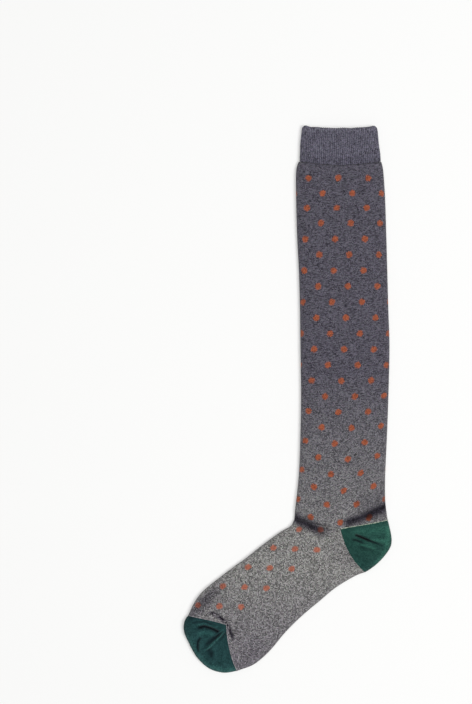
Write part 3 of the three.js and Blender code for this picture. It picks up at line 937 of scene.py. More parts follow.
class Graph:
    """Adds nodes to a tree and joins them by their sockets."""

    def __init__(self, tree: NodeTree) -> None:
        """Keeps the tree that the nodes go to."""
        self.tree = tree

    def feed(self, socket: NodeSocket, value: object) -> None:
        """Links a socket to another, or sets its value.

        Args:
            socket: the socket.
            value: the other socket, or the value.
        """
        if isinstance(value, NodeSocket):
            self.tree.links.new(value, socket)
        else:
            socket.default_value = value

    def node(self, kind: str, inputs: Optional[dict] = None, **settings: object) -> Node:
        """Adds a node.

        Args:
            kind: the node's type.
            inputs: socket names or numbers, with a value or a socket for each.
            settings: the node's own properties.

        Returns:
            The node.
        """
        made = self.tree.nodes.new(kind)
        for name, value in settings.items():
            setattr(made, name, value)
        for name, value in (inputs or {}).items():
            self.feed(made.inputs[name], value)
        return made

    def math(self, operation: str, *values: object, clamp: bool = False) -> NodeSocket:
        """Adds a Math node and gives its result."""
        inputs = dict(enumerate(values))
        return self.node("ShaderNodeMath", inputs, operation=operation, use_clamp=clamp).outputs[0]

    def times(self, first: object, second: object) -> NodeSocket:
        """Multiplies."""
        return self.math("MULTIPLY", first, second)

    def plus(self, first: object, second: object, clamp: bool = False) -> NodeSocket:
        """Adds, and keeps the sum between 0 and 1 if asked."""
        return self.math("ADD", first, second, clamp=clamp)

    def minus(self, first: object, second: object, clamp: bool = False) -> NodeSocket:
        """Subtracts, and keeps the rest between 0 and 1 if asked."""
        return self.math("SUBTRACT", first, second, clamp=clamp)

    def fraction(self, value: object) -> NodeSocket:
        """Gives what is past the whole number below."""
        return self.math("FRACT", value)

    def blend(self, share: object, first: object, second: object, mode: str = "MIX") -> NodeSocket:
        """Adds a Mix node for colours and gives its result.

        Args:
            share: how much of the second colour there is.
            first: the first colour.
            second: the second colour.
            mode: the node's way to blend them.

        Returns:
            The blended colour.
        """
        node = self.node("ShaderNodeMix", data_type="RGBA", blend_type=mode)
        for socket, value in zip((node.inputs[0], node.inputs[6], node.inputs[7]), (share, first, second)):
            self.feed(socket, value)
        return node.outputs[2]

    def parts(self, vector: object) -> tuple[NodeSocket, ...]:
        """Splits a vector into x, y and z."""
        return tuple(self.node("ShaderNodeSeparateXYZ", {0: vector}).outputs)

    def vector(self, x: object, y: object = 0.0, z: object = 0.0) -> NodeSocket:
        """Puts x, y and z together."""
        return self.node("ShaderNodeCombineXYZ", {0: x, 1: y, 2: z}).outputs[0]

    def noise(self, vector: object, scale: float, detail: float = 2.0) -> NodeSocket:
        """Adds a Noise Texture and gives its factor."""
        inputs = {"Vector": vector, "Scale": scale, "Detail": detail, "Roughness": 0.6}
        return self.node("ShaderNodeTexNoise", inputs).outputs["Fac"]


def new_material(name: str, roughness: float, specular: float) -> tuple[Material, Graph, Node]:
    """Makes a material.

    Args:
        name: its name.
        roughness: its roughness.
        specular: its specular level.

    Returns:
        The material, its graph and its shader.
    """
    material = bpy.data.materials.new(name)
    material.use_nodes = True
    shader = material.node_tree.nodes["Principled BSDF"]
    shader.inputs["Roughness"].default_value = roughness
    shader.inputs["Specular IOR Level"].default_value = specular
    return material, Graph(material.node_tree), shader


class Socket(NamedTuple):
    """A named input or output of a node group."""

    name: str
    kind: str
    value: object = None


def group(
    name: str, kind: str, takes: Sequence[Socket], gives: Sequence[Socket]
) -> tuple[NodeTree, Graph, Node, Node]:
    """Makes an empty node group with named sockets.

    Args:
        name: the group's name.
        kind: ShaderNodeTree or GeometryNodeTree.
        takes: its inputs.
        gives: its outputs.

    Returns:
        The tree, its graph, its input node and its output node.
    """
    tree = bpy.data.node_groups.new(name, kind)
    for way, sockets in (("INPUT", takes), ("OUTPUT", gives)):
        for socket in sockets:
            made = tree.interface.new_socket(socket.name, in_out=way, socket_type="NodeSocket" + socket.kind)
            if socket.value is not None:
                made.default_value = socket.value
    graph = Graph(tree)
    return tree, graph, graph.node("NodeGroupInput"), graph.node("NodeGroupOutput")


@dataclass
class KnitEffects:
    """The shader node groups that the sock's yarns share, with the sizes of their grain.

    A run is how far a grain is drawn out along its wale or course, and a scale is how many of it a
    stitch has.
    """

    bulge_across: float = 0.5
    bulge_along: float = 0.6
    row_run: float = 0.3
    row_scale: float = 0.93
    column_run: float = 0.2
    column_scale: float = 0.91
    fibre_run: float = 1.3
    fibre_scale: float = 2.9
    cloud_scale: float = 0.11
    hue_scale: float = 0.83
    dot_reach: float = 0.65
    dot_ragged: float = 0.7
    dot_fade: tuple[float, float] = (-0.3, 0.35)

    def __post_init__(self) -> None:
        """Builds each group once."""
        self.stitch = self._stitch()
        self.heather = self._heather()
        self.dots = self._dots()

    def _stitch(self) -> NodeTree:
        """Makes plain knit's V-shaped stitches: a height, a cell for each stitch and row, and the gaps.

        Returns:
            The group.
        """
        takes = [Socket("Knit", "Vector"), Socket("Slant", "Float", 0.6)]
        gives = [Socket("Height", "Float"), Socket("Cell", "Vector"), Socket("Gap", "Float")]
        tree, g, come, go = group("Knit stitch", "ShaderNodeTree", takes, gives)
        wale, course, _ = g.parts(come.outputs["Knit"])
        out = g.math("ABSOLUTE", g.minus(g.times(g.fraction(wale), 2.0), 1.0))
        row = g.plus(course, g.times(out, come.outputs["Slant"]))
        across = g.math("SINE", g.times(g.fraction(g.times(wale, 2.0)), math.pi))
        along = g.math("SINE", g.times(g.fraction(row), math.pi))
        bulge = g.math("POWER", across, self.bulge_across)
        height = g.times(bulge, g.math("POWER", along, self.bulge_along))
        g.feed(go.inputs["Height"], height)
        g.feed(go.inputs["Cell"], g.vector(g.math("FLOOR", wale), g.math("FLOOR", row)))
        # The gaps between stitches, which the materials darken with painted shade.
        g.feed(go.inputs["Gap"], g.minus(1.0, height, clamp=True))
        return tree

    def _heather(self) -> NodeTree:
        """Makes a melange yarn: each stitch, row and fibre has its own tone between two colours.

        Returns:
            The group.
        """
        takes = [
            Socket("Knit", "Vector"),
            Socket("Cell", "Vector"),
            Socket("Dark", "Color", (0.02, 0.02, 0.02, 1)),
            Socket("Light", "Color", (0.2, 0.2, 0.2, 1)),
        ]
        takes += [Socket(name, "Float", 0.0) for name in (*SWINGS, "Tint")]
        takes += [Socket("Curve", "Float", 1.0)]
        tree, g, come, go = group("Heather yarn", "ShaderNodeTree", takes, [Socket("Color", "Color")])
        wale, course, _ = g.parts(come.outputs["Knit"])
        cell_wale, cell_row, _ = g.parts(come.outputs["Cell"])
        chance = g.node("ShaderNodeTexWhiteNoise", {"Vector": come.outputs["Cell"]}, noise_dimensions="2D")
        odd = g.fraction(g.times(g.plus(cell_wale, cell_row), 0.5))
        turn = g.minus(g.times(odd, 4.0), 1.0)
        other, _, _ = g.parts(chance.outputs["Color"])
        marl = g.plus(g.times(g.times(turn, other), 0.5), 0.5)
        rows = g.noise(g.vector(g.times(wale, self.row_run), cell_row), self.row_scale, 1.0)
        columns = g.noise(g.vector(cell_wale, g.times(course, self.column_run)), self.column_scale, 1.0)
        fibre = g.noise(g.vector(g.times(wale, self.fibre_run), course), self.fibre_scale, 3.0)
        cloud = g.noise(come.outputs["Knit"], self.cloud_scale, 3.0)
        tone: object = 0.5
        for name, source in zip(SWINGS, (chance.outputs["Value"], marl, rows, columns, fibre, cloud)):
            swing = g.times(g.minus(source, 0.5), come.outputs[name])
            tone = g.plus(tone, swing)
        tone = g.math("POWER", g.plus(tone, 0.0, clamp=True), come.outputs["Curve"])
        colour = g.blend(tone, come.outputs["Dark"], come.outputs["Light"])
        inputs = {"Vector": come.outputs["Knit"], "Scale": self.hue_scale, "Detail": 2.0}
        hue = g.node("ShaderNodeTexNoise", inputs)
        twice = g.node("ShaderNodeVectorMath", {0: hue.outputs["Color"]}, operation="SCALE")
        twice.inputs["Scale"].default_value = 2.0
        tinted = g.blend(1.0, colour, twice.outputs[0], "MULTIPLY")
        g.feed(go.inputs["Color"], g.blend(come.outputs["Tint"], colour, tinted))
        return tree

    def _dots(self) -> NodeTree:
        """Makes dots in a half-drop repeat, each a few whole stitches.

        Returns:
            The group.
        """
        takes = [
            Socket("Cell", "Vector"),
            Socket("First wale", "Float", 0.0),
            Socket("First course", "Float", 0.0),
            Socket("Repeat across", "Float", 28.0),
            Socket("Repeat along", "Float", 42.0),
            Socket("Half width", "Float", 2.9),
            Socket("Half height", "Float", 4.2),
        ]
        tree, g, come, go = group("Knitted dots", "ShaderNodeTree", takes, [Socket("Mask", "Float")])
        wale, course, _ = g.parts(come.outputs["Cell"])
        ragged = g.node("ShaderNodeTexWhiteNoise", {"Vector": come.outputs["Cell"]}, noise_dimensions="2D")
        nearest: Optional[NodeSocket] = None
        for drop in (0.0, 0.5):
            squares = []
            for at, first, repeat, half in (
                (wale, "First wale", "Repeat across", "Half width"),
                (course, "First course", "Repeat along", "Half height"),
            ):
                turns = g.math("DIVIDE", g.minus(at, come.outputs[first]), come.outputs[repeat])
                part = g.minus(g.fraction(g.plus(turns, 0.5 + drop)), 0.5)
                away = g.math("DIVIDE", g.times(part, come.outputs[repeat]), come.outputs[half])
                squares.append(g.times(away, away))
            round_away = g.plus(*squares)
            nearest = round_away if nearest is None else g.math("MINIMUM", nearest, round_away)
        edge = g.plus(self.dot_reach, g.times(ragged.outputs["Value"], self.dot_ragged))
        outer, inner = self.dot_fade
        inside = g.node("ShaderNodeMapRange", {0: g.minus(edge, nearest), 1: outer, 2: inner})
        g.feed(go.inputs["Mask"], inside.outputs[0])
        return tree


@dataclass(frozen=True)
class Yarn:
    """A melange yarn: its two colours, and how far each source of unevenness moves its tone.

    Above 1, curve leaves light specks on a darker ground.
    """

    dark: Colour
    light: Colour
    stitch: float = 0.6
    marl: float = 0.4
    rows: float = 0.3
    columns: float = 0.0
    fibre: float = 0.6
    cloud: float = 0.35
    tint: float = 0.2
    curve: float = 1.0


@dataclass(frozen=True)
class DotRepeat:
    """Dots of a second yarn: where they start, in stitches, and the first and last rows with any."""

    yarn: Yarn
    first_wale: float
    first_course: float
    last_wale: float = 1e6
    top_course: float = -1e6


@dataclass(frozen=True)
class KnitFinish:
    """A knitted cloth: its yarn, the yarn lower down, its dots, and how its stitches stand out.

    The painted shades say how much the colour is darkened in folds, between stitches and between ribs,
    and painted_shade_tinge is the power of that darkening for each colour.
    """

    name: str
    yarn: Yarn
    lower_yarn: Optional[Yarn] = None
    lower_from: float = 0.03
    lower_to: float = -0.22
    dots: Optional[DotRepeat] = None
    relief: float = 0.35
    painted_gap_shade: float = 0.5
    painted_fold_shade: float = 0.72
    painted_furrow_shade: float = 0.5
    painted_shade_tinge: Colour = (1.0, 1.04, 0.9)
    fuzz: float = 0.5
    fuzz_scale: float = 3.1
    bump: float = 0.8
    roughness: float = 0.92
    specular: float = 0.12
    sheen: float = 0.14
    sheen_roughness: float = 0.35

    def make(self, effects: KnitEffects) -> Material:
        """Builds the material.

        Args:
            effects: the node groups.

        Returns:
            The material.
        """
        material, g, shader = new_material(self.name, self.roughness, self.specular)
        knit = g.node("ShaderNodeUVMap", uv_map="knit").outputs["UV"]
        stitch = g.node("ShaderNodeGroup", node_tree=effects.stitch)
        g.feed(stitch.inputs["Knit"], knit)
        colour = self._melange(g, effects, stitch, knit, self.yarn)
        # Blends to the yarn lower down by the object's height. On the leg this lightening towards the ankle
        # is
        # partly the yarn's own tone and partly painted light, for the light that falls brighter lower down.
        if self.lower_yarn:
            _, y, _ = g.parts(g.node("ShaderNodeTexCoord").outputs["Object"])
            inputs = {0: y, 1: self.lower_from, 2: self.lower_to}
            share = g.node("ShaderNodeMapRange", inputs).outputs[0]
            colour = g.blend(share, colour, self._melange(g, effects, stitch, knit, self.lower_yarn))
        if self.dots:
            dotted = self._melange(g, effects, stitch, knit, self.dots.yarn)
            colour = g.blend(self._dot_mask(g, effects, stitch), colour, dotted)
        # Painted shade: the fold attribute, the gaps between stitches and the rib furrows darken the colour
        # with a bluish tinge.
        # Where the fold attribute is below zero it lightens the colour as a painted highlight.
        painted_shade: object = 1.0
        for amount, source in (
            (self.painted_fold_shade, g.node("ShaderNodeAttribute", attribute_name="fold").outputs["Fac"]),
            (self.painted_gap_shade, stitch.outputs["Gap"]),
            (self.painted_furrow_shade, g.node("ShaderNodeAttribute", attribute_name="furrow").outputs["Fac"]),
        ):
            painted_shade = g.times(painted_shade, g.minus(1.0, g.times(source, amount)))
        painted_shade_channels = {i: g.math("POWER", painted_shade, power) for i, power in enumerate(self.painted_shade_tinge)}
        grey = g.node("ShaderNodeCombineColor", painted_shade_channels).outputs[0]
        g.feed(shader.inputs["Base Color"], g.blend(1.0, colour, grey, "MULTIPLY"))
        fuzz = g.noise(knit, self.fuzz_scale, 3.0)
        height = g.plus(stitch.outputs["Height"], g.times(fuzz, self.fuzz))
        inputs = {"Height": height, "Strength": self.bump, "Distance": self.relief * MM}
        g.feed(shader.inputs["Normal"], g.node("ShaderNodeBump", inputs).outputs["Normal"])
        shader.inputs["Sheen Weight"].default_value = self.sheen
        shader.inputs["Sheen Roughness"].default_value = self.sheen_roughness
        return material

    def _melange(
        self, g: Graph, effects: KnitEffects, stitch: Node, knit: object, yarn: Yarn
    ) -> NodeSocket:
        """Adds the melange of one yarn and gives its colour.

        Args:
            g: the material's graph.
            effects: the node groups.
            stitch: the stitches' node.
            knit: the knit's coordinates.
            yarn: the yarn.

        Returns:
            The colour.
        """
        inputs = {"Knit": knit, "Cell": stitch.outputs["Cell"]}
        inputs |= {"Dark": (*yarn.dark, 1), "Light": (*yarn.light, 1)}
        inputs |= {name: getattr(yarn, name.lower()) for name in (*SWINGS, "Tint", "Curve")}
        node = g.node("ShaderNodeGroup", node_tree=effects.heather)
        for name, value in inputs.items():
            g.feed(node.inputs[name], value)
        return node.outputs["Color"]

    def _dot_mask(self, g: Graph, effects: KnitEffects, stitch: Node) -> NodeSocket:
        """Gives 1 on the dots and 0 on the ground.

        Args:
            g: the material's graph.
            effects: the node groups.
            stitch: the stitches' node.

        Returns:
            The mask.
        """
        dots = g.node("ShaderNodeGroup", node_tree=effects.dots)
        g.feed(dots.inputs["Cell"], stitch.outputs["Cell"])
        dots.inputs["First wale"].default_value = self.dots.first_wale
        dots.inputs["First course"].default_value = self.dots.first_course
        wale = g.node("ShaderNodeAttribute", attribute_name="wale").outputs["Fac"]
        _, course, _ = g.parts(stitch.outputs["Cell"])
        before = g.math("LESS_THAN", wale, self.dots.last_wale)
        below = g.math("GREATER_THAN", course, self.dots.top_course)
        return g.times(dots.outputs["Mask"], g.times(before, below))


LEG_YARN = Yarn(
    dark=(0.02, 0.018, 0.026), light=(0.205, 0.195, 0.238), marl=0.3, rows=1.4, fibre=0.8, cloud=0.5
)
FOOT_YARN = Yarn(
    dark=(0.036, 0.0355, 0.034),
    light=(0.715, 0.709, 0.67),
    stitch=0.56,
    marl=0.46,
    rows=0.2,
    cloud=0.2,
    curve=1.5,
)
TOE_END_YARN = Yarn(
    dark=(0.026, 0.023, 0.027),
    light=(0.465, 0.438, 0.482),
    stitch=0.56,
    marl=0.5,
    rows=0.2,
    cloud=0.25,
    curve=1.5,
)
CUFF_YARN = Yarn(
    dark=(0.022, 0.021, 0.03), light=(0.36, 0.35, 0.43), marl=0.3, rows=0.15, columns=0.8, fibre=0.8
)
HEEL_YARN = Yarn(
    dark=(0.008, 0.042, 0.034), light=(0.033, 0.116, 0.09), rows=0.8, fibre=0.8, cloud=1.0, tint=0.1
)
TOE_YARN = Yarn(
    dark=(0.006, 0.03, 0.031), light=(0.031, 0.098, 0.098), rows=0.8, fibre=0.8, cloud=1.2, tint=0.1
)
LEG_DOT_YARN = Yarn(dark=(0.2, 0.055, 0.027), light=(0.6, 0.165, 0.08), marl=0.5, tint=0.1)
FOOT_DOT_YARN = Yarn(dark=(0.26, 0.085, 0.055), light=(0.72, 0.25, 0.16), marl=0.5, tint=0.1)

CUFF_KNIT = KnitFinish("rib_knit", CUFF_YARN)
LEG_KNIT = KnitFinish(
    "leg_knit",
    LEG_YARN,
    FOOT_YARN,
    dots=DotRepeat(LEG_DOT_YARN, first_wale=-1.5, first_course=14.0, top_course=6.0),
)
FOOT_KNIT = KnitFinish(
    "foot_knit",
    FOOT_YARN,
    TOE_END_YARN,
    lower_from=-0.18,
    lower_to=-0.28,
    dots=DotRepeat(FOOT_DOT_YARN, first_wale=2.0, first_course=42.0, last_wale=8.0, top_course=12.0),
)
GREEN_KNIT = KnitFinish(
    "green_knit",
    HEEL_YARN,
    TOE_YARN,
    lower_from=-0.16,
    lower_to=-0.22,
    relief=0.25,
    sheen=0.06,
)


@dataclass
class Sock:
    """Builds the sock's five pieces and dresses them.

    steps are sections along a piece, of which the inner skins of leg, foot and cuff keep one in five,
    four and six. quads are counted over the upper layer and under the lower layer. A span is the
    courses, or the shares of the cuff, over which something sets in.
    """

    shape: SockShape
    weaver: Weaver
    effects: KnitEffects
    origin: Array
    leg_steps: tuple[int, int] = (160, 80)
    foot_steps: int = 150
    cuff_steps: int = 90
    inner_every: tuple[int, int, int] = (5, 4, 6)
    leg_quads: tuple[int, int] = (120, 84)
    foot_quads: tuple[int, int] = (130, 90)
    pocket_quads: tuple[int, int] = (70, 44)
    heel_spokes: int = 110
    toe_spokes: int = 150
    rib_quads: int = 3
    rim_turns: int = 8
    tight_courses: float = 2.4
    tight_span: tuple[float, float] = (8, 62)
    lower_leg: float = 0.84
    setback_span: tuple[float, float] = (0.5, 1)
    rim_span: tuple[float, float] = (0.88, 1)
    seam_steps: int = 200
    stitch_lift: float = 0.2

    def dress(self, made: Object, finish: Optional[Material], node: str) -> None:
        """Gives a piece its finish, and puts it in its node's place.

        Args:
            made: the piece.
            finish: its material, or nothing where it has one.
            node: the node that it replaces.
        """
        if finish:
            made.data.materials.clear()
            made.data.materials.append(finish)
        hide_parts(node)
        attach(made, "root")
        LOG.info("%s: %d faces", made.name, len(made.data.polygons))

    def leg(self) -> Object:
        """Builds the leg's tube.

        Returns:
            The piece.
        """
        shape = self.shape
        first, last = (gap / 2 / shape.leg_length for gap in (shape.piece_gap, shape.hidden_gap))

        def place(down: Array, across: Array) -> Array:
            """Gives the leg's places, with its half of the gaps at both ends."""
            return shape.leg(mix(first, 1 - last, down), across)

        def stitches(plan: Array, steps: Array) -> tuple[Array, Array]:
            """Measures the knit from the leg's middle line and from the cuff's seam.

            Args:
                plan: plan places.
                steps: the shares of the leg that their rows lie at.

            Returns:
                The distances aside and along.
            """
            middle = (plan[:, :1, 0] + plan[:, -1:, 0]) / 2
            level = shape.leg_length - plan[..., 1]
            ankle = smoothstep(steps, shape.ankle_from, 1)[:, None]
            rows = mix(level, steps[:, None] * shape.leg_length, ankle)
            return plan[..., 0] - middle, rows - self.tight_courses * (1 - smoothstep(rows, *self.tight_span))

        high, low = self.leg_steps
        steps = [np.linspace(0, self.lower_leg, high), np.linspace(self.lower_leg, 1, low)[1:]]
        steps = np.concatenate(steps)
        every = self.inner_every[0]
        outer = self.weaver.tube(place, steps, 0, self.leg_quads, stitches)
        inner = self.weaver.tube(place, steps[::every], shape.knit_wall, self.leg_quads, stitches)
        return Cloth("leg_cloth", self.origin).torus(outer, inner)

    def foot(self) -> Object:
        """Builds the foot's tube.

        Returns:
            The piece.
        """
        shape = self.shape
        gap = shape.hidden_gap / 2 / shape.foot_body
        share = self.weaver.gauge.foot_share

        def place(along: Array, across: Array) -> Array:
            """Gives the foot's places, with its half of the gaps at both ends."""
            return shape.foot(mix(gap, 1 - gap, along), across)

        def stitches(plan: Array, _: Array) -> tuple[Array, Array]:
            """Measures the knit from the foot's line and from the heel corner."""
            return plan @ shape.to_sole / share, plan @ shape.to_toe

        steps = np.linspace(0, 1, self.foot_steps)
        every = self.inner_every[1]
        outer = self.weaver.tube(place, steps, 0, self.foot_quads, stitches)
        inner = self.weaver.tube(place, steps[::every], shape.knit_wall, self.foot_quads, stitches)
        return Cloth("foot_cloth", self.origin).torus(outer, inner)

    def cuff(self) -> Object:
        """Builds the cuff's tube, whose outer skin turns over the rim into the inner one.

        Returns:
            The piece.
        """
        shape = self.shape
        gauge = self.weaver.gauge
        first = shape.piece_gap / 2 / shape.cuff_height

        def stitches(plan: Array, _: Array) -> tuple[Array, Array]:
            """Measures the knit from the leg's middle line and from the cuff's seam."""
            return plan[..., 0], shape.leg_length - plan[..., 1]

        def skin(ups: Array, inset: float, counts: tuple[int, int]) -> Skin:
            """Makes one of the cuff's skins, with its mouth set back on top and its rim curled.

            Args:
                ups: the shares of the cuff at which it has a section.
                inset: 0 on the outer skin, and up to the wall's thickness inside it.
                counts: quads over the upper layer, and under the lower layer.

            Returns:
                The skin.
            """
            made = self.weaver.tube(shape.cuff, ups, inset, counts, stitches)
            x, y, z = np.moveaxis(made.points, -1, 0)
            back = shape.mouth_setback * smoothstep(ups, *self.setback_span)[:, None]
            y -= back * smoothstep(z, 0, shape.cuff_loft)
            y += shape.rim_lift(x) * smoothstep(ups, *self.rim_span)[:, None]
            upper = np.linspace(0, gauge.cuff_upper_wales, counts[0] + 1)
            lower = np.linspace(gauge.cuff_upper_wales, gauge.wales, counts[1] + 1)[1:]
            made.knit[..., 0] = np.concatenate([upper, lower])
            return made

        wales = (gauge.cuff_upper_wales, gauge.wales - gauge.cuff_upper_wales)
        counts = tuple(self.rib_quads * count for count in wales)
        rim = 0.5 * shape.cuff_wall / shape.cuff_height
        ups = np.linspace(first, 1 - rim, self.cuff_steps)
        outer = skin(ups, 0, counts)
        rounds = []
        for turn in np.linspace(0, math.pi, self.rim_turns + 1)[1:-1]:
            up = 1 - rim + rim * math.sin(turn)
            turned = skin(np.array([up, up]), shape.cuff_wall / 2 * (1 - math.cos(turn)), counts)
            rounds.append(turned.part(slice(1)))
        outer = outer.join(rounds, 0)
        inner = skin(ups[:: self.inner_every[2]], shape.cuff_wall, counts)
        made = Cloth("cuff_cloth", self.origin).torus(outer, inner)
        return RibKnit().apply(made, CUFF_KNIT.make(self.effects))

    def pocket(self, name: str, pocket: Pocket, spokes: int) -> Object:
        """Builds the heel's or the toe's pocket.

        Args:
            name: its name.
            pocket: the fan.
            spokes: how many quads it has round its corner.

        Returns:
            The piece.
        """
        insets = (0, self.shape.pocket_wall)
        outer, inner = (self.weaver.pocket(pocket, spokes, inset, self.pocket_quads) for inset in insets)
        return Cloth(name, self.origin).fan(outer, inner)

    def build(self) -> None:
        """Builds every piece and dresses it."""
        self.dress(self.cuff(), None, "cuff")
        self.dress(self.leg(), LEG_KNIT.make(self.effects), "leg")
        self.dress(self.foot(), FOOT_KNIT.make(self.effects), "foot")
        green = GREEN_KNIT.make(self.effects)
        heel = self.pocket("heel_cloth", self.shape.heel, self.heel_spokes)
        self.dress(heel, green, "heel")
        toe = self.pocket("toe_cloth", self.shape.toe, self.toe_spokes)
        self.dress(toe, green, "toe")
        self.sew_seams()

    def seam_path(self, seam: "Seam") -> Array:
        """Gives points along a seam of the upper layer, in millimetres from the heel corner.

        Args:
            seam: the seam.

        Returns:
            The points.
        """
        plan = seam.edge(np.linspace(*seam.reaches, self.seam_steps)) + np.array(seam.aside)
        z = self.shape.height(plan, Layer.UPPER) + self.stitch_lift
        return np.concatenate([plan, z[:, None]], 1)

    def sew_seams(self) -> None:
        """Sews the stitches of the heel's and the toe's seams."""
        shape = self.shape
        leg, foot = shape.leg, shape.foot
        zero, one = np.array(0.0), np.array(1.0)
        pale = StitchYarn("pale_stitches", (0.2, 0.26, 0.2), (0.62, 0.68, 0.56)).make()
        dark = StitchYarn("green_stitches", (0.008, 0.045, 0.035), (0.05, 0.13, 0.1)).make()
        ashen = StitchYarn("grey_stitches", (0.12, 0.115, 0.125), (0.5, 0.48, 0.51)).make()
        short = SeamStitches(length=1.5, width=0.85, pitch=1.5, lean=0.35)
        fine = SeamStitches(length=0.95, width=0.5, pitch=1.0, lean=-0.4, seed=5)
        chain = SeamStitches(length=1.3, width=0.75, pitch=1.15, lean=0.35, seed=8)
        green, grey = "green_knit", "grey_knit"
        seams = (
            Seam("heel_top_stitches", short, pale, lambda r: leg(one, r), (0.02, 0.995), (0, -0.1), green),
            Seam("heel_side_stitches", fine, dark, lambda r: foot(zero, r), (0.03, 0.99), (0, 0), green),
            Seam("toe_top_stitches", chain, ashen, lambda r: foot(one, -r), (0, 0.99), (0.3, 0.6), grey),
            Seam("toe_side_stitches", chain, ashen, lambda r: foot(one, r), (0.02, 0.99), (0.6, 0.2), grey),
        )
        for seam in seams:
            made = seam.stitches.sew(seam.name, self.seam_path(seam), self.origin, seam.yarn)
            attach(made, "root")
            LOG.info("%s: %d faces", made.name, len(made.data.polygons))


@dataclass(frozen=True)
class RibKnit:
    """Raises ribs on a knitted tube, two wales to a rib."""

    relief: float = 0.7
    pitch: float = 2.0

    def tree(self) -> NodeTree:
        """Builds the geometry nodes.

        Returns:
            The tree.
        """
        takes = [
            Socket("Geometry", "Geometry"),
            Socket("Relief", "Float", 0.0005),
            Socket("Wales to a rib", "Float", 2.0),
            Socket("Finish", "Material"),
        ]
        tree, g, come, go = group("Ribs", "GeometryNodeTree", takes, [Socket("Geometry", "Geometry")])
        wale, outside = (
            g.node("GeometryNodeInputNamedAttribute", {"Name": name}, data_type="FLOAT").outputs[0]
            for name in ("wale", "outside")
        )
        turn = g.times(g.math("DIVIDE", wale, come.outputs["Wales to a rib"]), 2 * math.pi)
        wave = g.times(g.minus(1.0, g.math("COSINE", turn)), 0.5)
        # The furrow dents the ribs, and the cuff's material also paints shade into it.
        furrow = g.times(wave, outside)
        marked = g.node(
            "GeometryNodeStoreNamedAttribute", {"Geometry": come.outputs["Geometry"], "Name": "furrow"}
        )
        g.feed(marked.inputs["Value"], furrow)
        normal = g.node("GeometryNodeInputNormal").outputs[0]
        move = g.node("ShaderNodeVectorMath", {0: normal}, operation="SCALE")
        depth = g.times(g.times(furrow, come.outputs["Relief"]), -1.0)
        g.feed(move.inputs["Scale"], depth)
        moved = g.node("GeometryNodeSetPosition", {"Geometry": marked.outputs[0], "Offset": move.outputs[0]})
        real = g.node("GeometryNodeRealizeInstances", {0: moved.outputs[0]})
        dressed = g.node("GeometryNodeSetMaterial", {"Geometry": real.outputs[0]})
        g.feed(dressed.inputs["Material"], come.outputs["Finish"])
        g.feed(go.inputs["Geometry"], dressed.outputs[0])
        return tree

    def apply(self, made: Object, finish: Material) -> Object:
        """Runs the nodes on a piece and keeps the result as its mesh."""
        values = {"Relief": self.relief * MM, "Wales to a rib": self.pitch, "Finish": finish}
        return bake_nodes(made, self.tree(), values)


